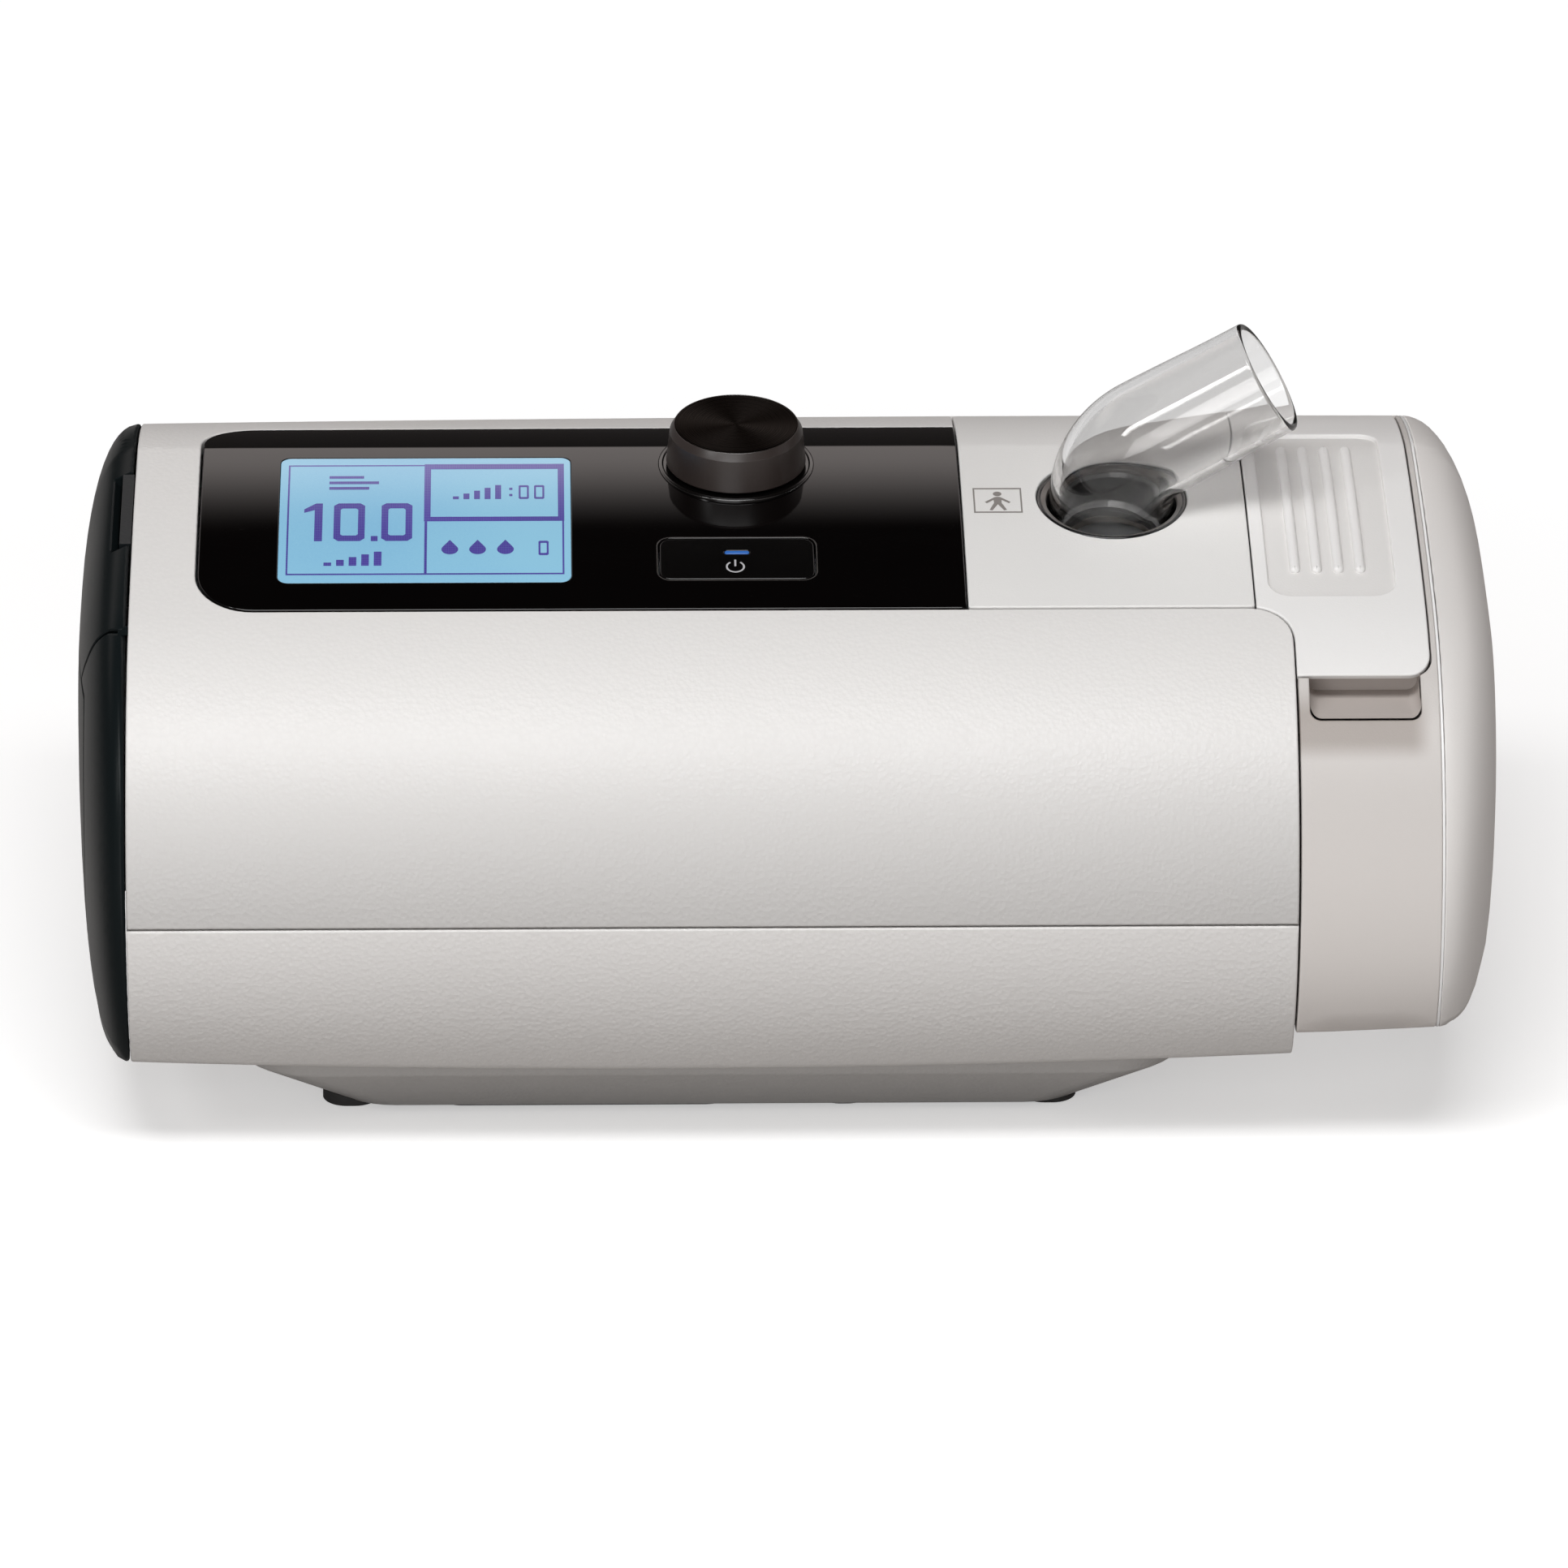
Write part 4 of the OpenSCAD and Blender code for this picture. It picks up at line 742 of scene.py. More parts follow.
def spun(name, colour):
    """Turned dark metal: fine rings around the knob's axis, and a painted highlight: lighter sectors set in its colour
    by the angle around the axis.
    """
    f = Finish(name, Metallic=1.0, Specular_Tint=(0.58, 0.56, 0.55, 1.0))
    (ox, oy, oz), turn = on_top(*KNOB_AT)
    x = f.axis(0) - ox
    y = (f.axis(1) - oy) * turn[1, 1] + (f.axis(2) - oz) * turn[2, 1]
    r = (x * x + y * y) ** 0.5
    rings = (r * 14.0).wave() * 0.5 + (r * 23.7 + 1.3).wave() * 0.35 + (r * 5.1).wave() * 0.25
    # painted highlight: lighter sectors in the base colour, fixed by the angle around the knob's axis
    painted_fans = ((x * 0.94 + y * 0.34) * (y * 0.94 - x * 0.34) * 2.0 / (x * x + y * y + 0.1)).size() ** 2.0
    shade = painted_fans * 0.9 + rings * 0.06 + 0.06
    f.set(Base_Color=f.mix(shade, tuple(c * 0.3 for c in colour), tuple(c * 1.5 for c in colour)),
          Roughness=rings * 0.03 + 0.3)
    return f.bump(rings, 0.02, 0.9)


def clear(name, colour, rough=0.03, ior=1.47, painted_upper_shade=None):
    """Clear moulded plastic, a little uneven inside."""
    f = Finish(name, Transmission_Weight=1.0, IOR=ior)
    slow, fine = f.noise(14.0, 2), f.noise(0.7, 2)
    tint = f.mix(slow, tuple(c * 0.985 for c in colour), colour)
    if painted_upper_shade:
        # painted shade: the upper half of the elbow's arm is tinted darker
        x, y, z = (f.axis(k) for k in range(3))
        above = (x - 89.25) * -0.518 + (y + 1.62) * 0.036 + (z - 128.19) * 0.854
        tint = f.mix(f.between(above, -7.0, -1.0), tint, painted_upper_shade)
    f.set(Base_Color=tint, Roughness=fine * 0.02 + rough)
    return f.bump(slow, 0.08, 0.2)


SCREEN_BLUE = (0.19, 0.385, 0.51)


def glowing(name, colour, strength, rough=0.15, dark=(0.88, 0.88, 0.88), wide=18.0, dots=0.0):
    """Lit plastic or glass; dots are the lighter gaps between the points of a display."""
    f = Finish(name, Emission_Strength=strength, Coat_Weight=0.5, Coat_Roughness=0.04)
    fine, slow = f.noise(0.3, 1), f.noise(wide, 2)
    lit = f.mix(f.between(slow * 0.85 + fine * 0.15, 0.35, 0.65), tuple(c * d for c, d in zip(colour, dark)), colour)
    if dots:
        mesh = f.between((f.axis(0) * (math.pi / 0.335)).wave().size(), 0.3, 0.05)
        mesh = mesh.most(f.between((f.axis(1) * (math.pi / 0.56)).wave().size(), 0.3, 0.05))
        lit = f.mix(mesh * dots, lit, SCREEN_BLUE)
    return f.set(Base_Color=lit, Emission_Color=lit, Roughness=fine * 0.05 + rough)


FIN = {
    "housing_white": leather_grained("housing_white", (0.79, 0.775, 0.76), 0.44, relief=0.14),
    "deck_white": moulded("deck_white", (0.81, 0.80, 0.785), 0.46, grain=0.4, relief=0.06),
    "cap_black": moulded("cap_black", (0.007, 0.010, 0.011), 0.3, grain=0.35, relief=0.02, tone=0.15,
                         Specular_IOR_Level=0.08),
    "panel_black": polished("panel_black", (0.0014, 0.0010, 0.0010)),
    "button_black": polished("button_black", (0.0022, 0.002, 0.002), 0.12),
    "knob_black": polished("knob_black", (0.002, 0.0017, 0.0016), 0.16, ior=1.75),
    "knob_satin": polished("knob_satin", (0.026, 0.019, 0.017), 0.34, ior=1.7),
    "knob_spun": spun("knob_spun", (0.016, 0.0145, 0.0135)),
    "diffuser_white": moulded("diffuser_white", (0.85, 0.85, 0.85), 0.5),
    "board_green": moulded("board_green", (0.02, 0.16, 0.07), 0.35, tone=0.25, mottled=8.0),
    "steel": metal("steel", (0.62, 0.61, 0.59), 0.3),
    "inner_grey": moulded("inner_grey", (0.42, 0.43, 0.44), 0.5),
    "inner_ivory": moulded("inner_ivory", (0.72, 0.69, 0.6), 0.45),
    "lamp_blue": glowing("lamp_blue", (0.025, 0.12, 0.42), 0.35),
    "elbow_clear": clear("elbow_clear", (0.995, 0.993, 0.99), 0.02, painted_upper_shade=(0.8, 0.795, 0.792)),
    "socket_black": moulded("socket_black", (0.006, 0.006, 0.006), 0.2, coat=0.5),
    "socket_grey": moulded("socket_grey", (0.13, 0.115, 0.105), 0.35, coat=0.3),
    "rubber_black": moulded("rubber_black", (0.03, 0.03, 0.03), 0.7, grain=0.8, relief=0.05, tone=0.2),
    "seal_grey": moulded("seal_grey", (0.35, 0.37, 0.4), 0.6),
    "seal_orange": moulded("seal_orange", (0.75, 0.2, 0.05), 0.6),
    "chamber_frost": moulded("chamber_frost", (0.78, 0.755, 0.735), 0.46, grain=0.4, relief=0.04, tone=0.05),
    "band_frost": shaded_band("band_frost", (0.7, 0.665, 0.64)),
    # painted shade: the finger pocket is a darker, browner copy of the chamber's frost
    "pocket_shaded_frost": moulded("pocket_shaded_frost", (0.55, 0.50, 0.47), 0.5, grain=0.4, relief=0.04),
    "cover_frost": moulded("cover_frost", (0.86, 0.85, 0.84), 0.48, grain=0.4, relief=0.05, tone=0.04),
    # painted shade: the cover's well floor is a darker copy of the cover's frost
    "well_shaded_frost": moulded("well_shaded_frost", (0.78, 0.765, 0.75), 0.5, grain=0.4, relief=0.05, tone=0.04),
    "bead_white": moulded("bead_white", (0.93, 0.93, 0.93), 0.3),
    "tub_clear": clear("tub_clear", (0.86, 0.9, 0.92), 0.08),
    "heater_metal": metal("heater_metal", (0.75, 0.74, 0.72), 0.25),
    "filter_fleece": moulded("filter_fleece", (0.62, 0.66, 0.7), 0.9, grain=0.5, relief=0.3, tone=0.2),
    "foam_grey": moulded("foam_grey", (0.12, 0.12, 0.13), 0.9, grain=1.2, relief=0.4, tone=0.4),
    "motor_steel": metal("motor_steel", (0.4, 0.4, 0.42), 0.35),
    "jack_black": moulded("jack_black", (0.02, 0.02, 0.02), 0.35),
    "card_dark": moulded("card_dark", (0.009, 0.012, 0.014), 0.35),
    "screen_glass": glowing("screen_glass", SCREEN_BLUE, 0.6, dark=(0.8, 0.86, 0.95), wide=60.0),
    "screen_ink": glowing("screen_ink", (0.06, 0.036, 0.25), 0.5, dots=0.25),
    "sign_white": moulded("sign_white", (0.5, 0.5, 0.52), 0.4),
    "outline_grey": moulded("outline_grey", (0.05, 0.046, 0.044), 0.3),
    "sign_line": moulded("sign_line", (0.26, 0.24, 0.225), 0.5),
}
FIN = {name: f.material for name, f in FIN.items()}

# ---------------------------------------------------------------- housing shells
FRONT_SEAM, BACK_SEAM = BODY.front_w(SEAM_Z), BODY.back_w(SEAM_Z)


def body_grid(x0, x1, w0, w1, rail=BODY, wide=5.0):
    xs = np.linspace(x0, x1, max(3, int((x1 - x0) / wide)))[1:-1]
    return np.array([(x, w) for x in xs for w in rail.lines(w0, w1, wide)])


def top_w(y, rail=BODY):
    return float(rail.top_w(y))


def upper_shell():
    r = APRON_CORNER - GAP
    lens = PANEL_CORNER + GAP
    x1, yf, yb, yd = X_RIGHT, PANEL_FRONT - GAP, PANEL_BACK + GAP, DECK_BACK + GAP
    edge = corner((x1 - r, yf - r), r, 0, 90, 10)
    edge += corner((PANEL_X0 - GAP + lens, yf + lens), lens, 270, 180, 12)
    edge += corner((PANEL_X0 - GAP + lens, yb - lens), lens, 180, 90, 12)
    edge += [(PANEL_X1 - GAP, yb), (PANEL_X1 - GAP, yd), (x1, yd)]
    path = []
    for a, b in zip(edge, edge[1:]):
        n = max(1, math.ceil(math.dist(a, b) / 1.5))
        path += [(a[0] + (b[0] - a[0]) * i / n, a[1] + (b[1] - a[1]) * i / n) for i in range(n)]
    path.append(edge[-1])
    w = BODY.top_w(np.array([p[1] for p in path]))
    inner = [(p[0], float(v)) for p, v in zip(path, w)]
    outer = [(x1, BACK_SEAM + GAP), (X_LEFT, BACK_SEAM + GAP), (X_LEFT, FRONT_SEAM - GAP), (x1, FRONT_SEAM - GAP)]
    loop = dense(inner + outer, 2.0)
    Form().sheet(OVER, [loop], 2.4, 0.42, body_grid(X_LEFT, x1, BACK_SEAM, FRONT_SEAM)).build(
        "upper_shell", "housing", [FIN["housing_white"]], "housing_white", ["main_cover"])


def lower_shell():
    loop = dense(box_loop(X_LEFT, FRONT_SEAM + GAP, X_RIGHT, BODY.total + BACK_SEAM - GAP), 2.0)
    z = 43.0
    w = BODY.total + BODY.back_w(z)
    Form().sheet(OVER, [loop, dense(disc_loop(-67.75, w, 5.7, 40), 2)], 2.4, 0.4,
                 body_grid(X_LEFT, X_RIGHT, FRONT_SEAM, BODY.total + BACK_SEAM)).build(
        "lower_shell", "housing", [FIN["housing_white"]], "housing_white", ["base_shell"])


# ---------------------------------------------------------------- panel, button and screen
SCREEN = (-92.85, -25.0, -39.15, 16.6)


def panel_lens():
    g = GAP
    r = PANEL_CORNER - g
    x0, x1, yf, yb = PANEL_X0 + 0.3, PANEL_X1 - g, PANEL_FRONT + g, PANEL_BACK - g
    loop = ([(x1, yf), (x1, yb)] + corner((x0 + r, yb - r), r, 90, 180, 12) + corner((x0 + r, yf + r), r, 180, 270, 12))
    x, y = BUTTON_AT
    key = box_loop(x - 14.45, y - 6.35, x + 14.45, y + 6.35, 2.45)
    Form().sheet(OVER, [on_top_loop(loop), on_top_loop(key), on_top_loop(box_loop(*SCREEN, 1.9))], 2.0, 0.25,
                 body_grid(x0, x1, top_w(yb), top_w(yf))).build(
        "panel_lens", "housing", [FIN["panel_black"]], "panel_black", ["display_lens"])
    # a fine grey line laid on the lens around the key's gap
    outline = Form()
    printed(outline, OVER, box_loop(x - 14.75, y - 6.65, x + 14.75, y + 6.65, 2.7), 0.02,
            [box_loop(x - 14.55, y - 6.45, x + 14.55, y + 6.45, 2.5)])
    outline.build("key_outline", "housing", [FIN["outline_grey"]], "panel_black")


def printed(form, surface, loop, lift, holes=(), paint=0):
    """Paint or print on the upper side: one layer of faces just above it."""
    loops = [on_top_loop(loop)] + [on_top_loop(hole) for hole in holes]
    p = np.array(loops[0])
    (x0, w0), (x1, w1) = p.min(0), p.max(0)
    grid = [(x, w) for x in np.arange(x0 + 2, x1 - 1, 4.0) for w in np.arange(w0 + 1, w1 - 0.5, 2.5)]
    flat, faces, _ = triangles(loops, np.array(grid).reshape(-1, 2))
    points, normals = surface(flat, -lift)
    a, b, c = (points[faces[:, k]] for k in range(3))
    if float((np.cross(b - a, c - a) * normals[faces[:, 0]]).sum()) < 0:
        faces = faces[:, ::-1]
    return form.add(points, normals, faces, paint)


def power_key():
    x, y = BUTTON_AT
    lamp = box_loop(x - 2.3, y + 1.4, x + 2.3, y + 2.4, 0.48, 4)
    face = box_loop(x - 14.2, y - 6.1, x + 14.2, y + 6.1, 2.2)
    Form().sheet(OVER, [on_top_loop(face), on_top_loop(lamp)], 1.8, 0.28,
                 body_grid(x - 14, x + 14, top_w(y + 6), top_w(y - 6), wide=3.0)).build(
        "power_key", "button", [FIN["button_black"]], "button_black", ["power_button"])
    lit = box_loop(x - 2.25, y + 1.45, x + 2.25, y + 2.35, 0.45, 4)
    Form().sheet(OVER, [on_top_loop(lit)], 1.6, 0.12).build(
        "status_bar", "button", [FIN["lamp_blue"]], "lamp_blue", ["status_light"])
    sign, c = Form(), (x - 0.35, y - 2.55)
    printed(sign, OVER, corner(c, 1.75, 125, 415, 28) + corner(c, 1.4, 415, 125, 28), 0.02)
    printed(sign, OVER, box_loop(c[0] - 0.18, c[1] + 0.1, c[0] + 0.18, c[1] + 2.15, 0.15, 3), 0.02)
    sign.build("power_sign", "button", [FIN["sign_white"]], "diffuser_white")


def cut_box(x0, y0, x1, y1, cut):
    """Rectangle with its corners cut off."""
    return [(x0 + cut, y0), (x1 - cut, y0), (x1, y0 + cut), (x1, y1 - cut), (x1 - cut, y1), (x0 + cut, y1),
            (x0, y1 - cut), (x0, y0 + cut)]


def screen():
    x0, y0, x1, y1 = SCREEN
    Form().sheet(OVER, [on_top_loop(box_loop(x0 + 0.02, y0 + 0.02, x1 - 0.02, y1 - 0.02, 1.88))],
                 1.5, 0.05, lift=-0.04).build("screen_window", "housing", [FIN["screen_glass"]], "screen_glass",
                                              ["lcd_glass"])
    # the display's frames, number and plain signs
    ink, up = Form(), -0.02
    printed(ink, OVER, box_loop(-91.4, -22.75, -40.4, 14.0), up, [box_loop(-91.07, -22.3, -40.73, 13.55)])
    printed(ink, OVER, box_loop(-66.1, -22.3, -65.6, 13.55), up)
    printed(ink, OVER, box_loop(-66.2, -6.1, -40.35, 14.25), up + 0.004, [box_loop(-65.0, -4.6, -41.5, 12.3)])
    digits = [(-82.81, -77.08, -12.4, 0.1, 1.25, 1.8), (-74.02, -68.34, -12.4, 0.1, 1.25, 1.8),
              (-48.75, -46.86, 1.4, 6.3, 0.36, 0.7), (-45.9, -44.01, 1.4, 6.3, 0.36, 0.7),
              (-45.13, -43.27, -17.0, -12.5, 0.36, 0.7)]
    for a, b, front, back, side, end in digits:
        printed(ink, OVER, cut_box(a, front, b, back, side * 0.7), up,
                [cut_box(a + side, front + end, b - side, back - end, side * 0.3)])
    printed(ink, OVER, [(-86.35, -12.4), (-84.88, -12.4), (-84.88, 0.1), (-86.1, 0.1), (-88.28, -1.9), (-88.28, -3.1),
                        (-86.35, -2.2)], up)
    printed(ink, OVER, box_loop(-75.92, -12.45, -74.67, -10.8), up)
    for y in (2.4, 4.6):
        printed(ink, OVER, box_loop(-50.5, y, -49.9, y + 0.8), up)
    for k, long in enumerate((6.4, 9.2, 7.4)):
        printed(ink, OVER, box_loop(-83.8, 8.9 - 2.0 * k, -83.8 + long, 9.9 - 2.0 * k), up)
    for k in range(5):
        printed(ink, OVER, box_loop(-84.5 + 2.3 * k, -20.0, -83.1 + 2.3 * k, -19.0 + 0.82 * k), up)
        printed(ink, OVER, box_loop(-60.9 + 1.95 * k, 1.4, -59.8 + 1.95 * k, 2.4 + 1.0 * k), up)
    for k in range(3):
        c = (-61.4 + 5.1 * k, -15.1)
        printed(ink, OVER, corner(c, 1.55, 150, 390, 14) + [(c[0], c[1] + 3.0)], up)
    ink.build("screen_signs", "housing", [FIN["screen_ink"]], "screen_glass")


def deck():
    x0, x1 = PANEL_X1 + GAP, DECK_X1 - GAP
    loop = on_top_loop(box_loop(x0, PANEL_FRONT + 0.3, x1, DECK_BACK - 0.15, 0.6, 3))
    hole = on_top_loop(disc_loop(*PORT_AT, 14.0))
    Form().sheet(OVER, [loop, hole], 2.4, 0.35, body_grid(x0, x1, top_w(46), top_w(-33))).build(
        "outlet_deck_face", "housing", [FIN["deck_white"]], "deck_white", ["outlet_deck"])
    # a framed sign with a plain figure
    sign, c = Form(), 39.8
    printed(sign, OVER, box_loop(35.3, -4.0, 44.3, 4.6), 0.02, [box_loop(35.6, -3.55, 44.0, 4.15)])
    printed(sign, OVER, disc_loop(c, 2.5, 0.8, 20), 0.02)
    half = [(0.0, 1.5), (0.5, 1.4), (2.4, -0.3), (2.05, -0.75), (0.75, 0.4), (0.7, -0.6), (1.6, -3.0), (1.1, -3.2),
            (0.0, -1.1)]
    printed(sign, OVER, [(c + x, y) for x, y in half] + [(c - x, y) for x, y in half[-2:0:-1]], 0.02)
    sign.build("deck_sign", "housing", [FIN["sign_line"]], "deck_white")


# ---------------------------------------------------------------- water chamber
def chamber():
    g = 0.3
    c = (X_RIGHT - APRON_CORNER, PANEL_FRONT - APRON_CORNER)
    r = APRON_CORNER + g
    a0 = math.degrees(math.acos((DECK_X1 + GAP - c[0]) / r))
    x1, yf, yb, k = COVER_X1, COVER_FRONT, DECK_BACK, COVER_CORNER
    plan = corner(c, r, a0, 0, 8) + [(X_RIGHT + g, yf)] + corner((x1 - k, yf + k), k, -90, 0, 8)
    plan += [(x1, yb), (DECK_X1 + GAP, yb)]
    well = box_loop(88.4, -29.6, 111.6, 26.8, 4.0)
    cover = Form()
    cover.sheet(TUB_OVER, [on_top_loop(plan, TUB), on_top_loop(well, TUB)], COVER_EDGE, 0.4,
                body_grid(DECK_X1, x1, top_w(yb), top_w(yf), TUB))
    floor = box_loop(87.9, -30.1, 112.1, 27.3, 4.3)
    # the well's floor takes the darker frost, a painted shade of the recess
    cover.sheet(TUB_OVER, [on_top_loop(floor, TUB)], 1.0, 0.1, lift=-0.8, paint=1)
    for i in range(4):
        x = 93.45 + 4.0 * i
        rib = box_loop(x - 0.95, -22.4, x + 0.95, 20.2, 0.94, 6)
        cover.sheet(TUB_OVER, [on_top_loop(rib, TUB)], 1.3, 0.9, np.zeros((0, 2)), rows=6, lift=0.25)
    cover.build("chamber_ribbed_cover", "chamber", [FIN["cover_frost"], FIN["well_shaded_frost"]], "cover_frost",
                ["chamber_cover"])

    # outer band: unrolled from the middle of the underside
    w0, w1 = TUB.middle - TUB.total, TUB.middle
    xa, xb = BAND_X0, X_PART - BEAD_W
    tip = COVER_X1 + g
    notch_f, notch_b = top_w(COVER_FRONT - g, TUB), top_w(DECK_BACK + g, TUB)
    k = COVER_CORNER + g
    (gx0, gx1), gz0, r = FINGER_X, FINGER_Z, 2.0
    sill = TUB.front_w(gz0)
    loop = [(xa, w0), (xb, w0), (xb, w1), (xa, w1), (xa, notch_f), (gx0, notch_f), (gx0, sill - r)]
    loop += [(gx0 + r + r * cos(t), sill - r + r * sin(t)) for t in range(170, 89, -10)]
    loop += [(gx1 - r + r * cos(t), sill - r + r * sin(t)) for t in range(90, -1, -10)]
    end = math.degrees(math.acos((gx1 - tip + k) / k))
    loop += [(tip - k + k * cos(t), notch_f - k + k * sin(t)) for t in np.linspace(end, 0, 8)]
    loop += [(tip, notch_b), (xa, notch_b)]
    band = Form()
    band.sheet(TUB_OVER, [dense(loop, 1.5)], 2.2, 0.35, body_grid(xa, xb, w0, w1, TUB))
    band.build("chamber_outer_band", "chamber", [FIN["band_frost"]], "chamber_frost", ["chamber_band"])
    finger_recess()

    bead = Form()
    bead.sheet(TUB_OVER, [dense(box_loop(X_PART - BEAD_W, w0, X_PART, w1), 1.2)], 2.2, 0.15,
               body_grid(X_PART - BEAD_W, X_PART, w0, w1, TUB, 3.0))
    bead.build("parting_bead", "chamber", [FIN["bead_white"]], "bead_white", ["seam_bead"])

    rim = [tuple(p) for p in END.plan(TUB.at(np.linspace(0, TUB.total, 300)[:-1])[:, :2])]
    grid = dome_grid(END)
    Form().sheet(END, [oriented(rim)], 2.0, 0.15, grid, rows=2).build(
        "chamber_dome", "chamber", [FIN["chamber_frost"]], "chamber_frost", ["chamber_end"])


def finger_recess():
    """The pocket under the cover's edge: sill, round corners, back wall and roof."""
    (x0, x1), z0, r = FINGER_X, FINGER_Z, 2.0
    outline = [(x0, 89.0)] + [(x0 + r + r * cos(t), z0 + r + r * sin(t)) for t in range(180, 271, 10)]
    outline += [(x, z0) for x in np.linspace(x0 + r, x1 - r, 8)[1:-1]]
    outline += [(x1 - r + r * cos(t), z0 + r + r * sin(t)) for t in range(270, 361, 10)] + [(x1, 89.0)]
    outline = np.array(outline)
    front = TUB.at([TUB.front_w(z) for z in outline[:, 1]])[:, 0]
    rows = [np.stack([outline[:, 0], front + (FINGER_BACK - front) * s, outline[:, 1]], -1)
            for s in (0.05, 0.3, 0.6, 0.9, 1.0)]
    side = np.gradient(outline, axis=0)
    side /= np.linalg.norm(side, axis=1, keepdims=True)
    inward = np.stack([-side[:, 1], 0 * front, side[:, 0]], -1)
    form = Form()
    form.loft(rows, [inward] * 5, closed=False)
    form.lid(rows[-1], (0, -1.0, 0))
    roof = [(x0, -46.5, 88.5), (x1, -46.5, 88.5), (x1, FINGER_BACK, 89.0), (x0, FINGER_BACK, 89.0)]
    form.lid(roof, (0, 0, -1.0))
    # the pocket's walls take the darker frost, a painted shade
    form.build("finger_pocket", "chamber", [FIN["pocket_shaded_frost"]], "chamber_frost")


def dome_grid(dome):
    out = []
    for share in (0.03, 0.12, 0.22, 0.32, 0.42, 0.52, 0.6, 0.67, 0.74, 0.8, 0.85, 0.89, 0.92, 0.945, 0.965, 0.982):
        n = int(10 + 110 * share)
        for i in range(n):
            a = 2 * math.pi * (i + share * 7 % 1) / n - math.pi
            r = np.interp(a, dome.angle, dome.reach, period=2 * math.pi) * share
            out.append((dome.mid[0] + r * math.cos(a), dome.mid[1] + r * math.sin(a)))
    return np.array(out)


# ---------------------------------------------------------------- dark left cap
def cut_off(loop, axis, limit):
    """The part of a convex outline that lies below a limit on one axis."""
    out = []
    for a, b in zip(loop, loop[1:] + loop[:1]):
        if a[axis] <= limit:
            out.append(a)
        if (a[axis] - limit) * (b[axis] - limit) < 0:
            t = (limit - a[axis]) / (b[axis] - a[axis])
            out.append((a[0] + (b[0] - a[0]) * t, a[1] + (b[1] - a[1]) * t))
    return out


def left_cap():
    side = BODY.at(np.linspace(0, BODY.total, 360)[:-1])[:, :2]
    rim = CAP.plan(side)
    small = [tuple(p) for p in CAP.mid + (side - CAP.mid) * INLET_SCALE]
    inlet = CAP.plan(dense(cut_off(cut_off(small, 0, INLET_BACK), 1, INLET_TOP), 1.5))
    seam_top = CAP.plan(dense_open([(-40.5, 99), (-37.8, 94), (-36.5, 93.4), (-34.8, 90.6), (-32.6, 86), (-27.6, 79), (-26, 76)]))
    seam_low = CAP.plan(dense_open([(-28, 50), (-29, 30), (-30, 12)]))
    # the notch for the card, cut into the rim at the top
    top_edge = side[(side[:, 1] > 80) & (side[:, 0] > CARD_AT[1] - 12.3) & (side[:, 0] < CARD_AT[1] + 12.3)]
    top_edge = CAP.plan(top_edge[np.argsort(top_edge[:, 0])])
    notch = [(y, z + 1.5) for y, z in top_edge] + [(y, z - 1.9) for y, z in top_edge[::-1]]

    def kinds(p):
        inlets = inside(p, [inlet])
        outer = inside(p, [rim]) & ~inside(p, [notch])
        line = np.array([(-42, 110), (-40.5, 99), (-37.8, 94), (-36.5, 93.4), (-34.8, 90.6), (-32.6, 86), (-27.6, 79), (-25, 75), (-28, 50), (-29, 30), (-31, -20)])
        plan_line = CAP.plan(line[1:-1])
        edge_y = np.interp(p[:, 1], plan_line[::-1, 1], plan_line[::-1, 0])
        out = []
        for i in range(len(p)):
            if not outer[i]:
                out.append("")
            elif inlets[i]:
                out.append("inlet")
            else:
                out.append("corner" if p[i, 0] < edge_y[i] else "cap")
        return out

    found = cells([([tuple(p) for p in rim], True), ([tuple(p) for p in inlet], True), (notch, True),
                   ([tuple(p) for p in seam_top], False), ([tuple(p) for p in seam_low], False)], kinds)
    grid = dome_grid(CAP)
    for kind, name, node, edge in (("cap", "left_cap_shell", "left_end_cap", 0.3),
                                   ("corner", "left_corner_shell", "front_corner_cover", 0.7)):
        loops = sorted(found[kind], key=lambda l: -abs(area(l)))[:1]
        loops = [dense([tuple(p) for p in moved_in(l, 0.15)[0]], 2.0) for l in loops]
        Form().sheet(CAP, loops, 2.0, edge, grid, rows=4).build(name, "housing", [FIN["cap_black"]], "cap_black", [node])
    loop = sorted(found["inlet"], key=lambda l: -abs(area(l)))[0]
    loop = dense([tuple(p) for p in moved_in(loop, 0.15)[0]], 2.0)
    slots = []
    for i in range(9):
        z0 = 43.0 + 4.2 * i
        z = box_loop(-18, z0 - 1.9, 16, z0 + 0.2, 0.9, 4)
        slots.append(oriented([tuple(p) for p in CAP.plan(dense(z, 1.5))], -1))
    Form().sheet(CAP, [loop] + slots[1:], 2.0, 0.3, grid).build(
        "air_inlet_grille", "inlet_cover", [FIN["cap_black"]], "cap_black", ["inlet_cover"])


def dense_open(points, step=1.2):
    out = []
    for a, b in zip(points, points[1:]):
        n = max(1, math.ceil(math.dist(a, b) / step))
        out += [(a[0] + (b[0] - a[0]) * i / n, a[1] + (b[1] - a[1]) * i / n) for i in range(n)]
    return out + [points[-1]]


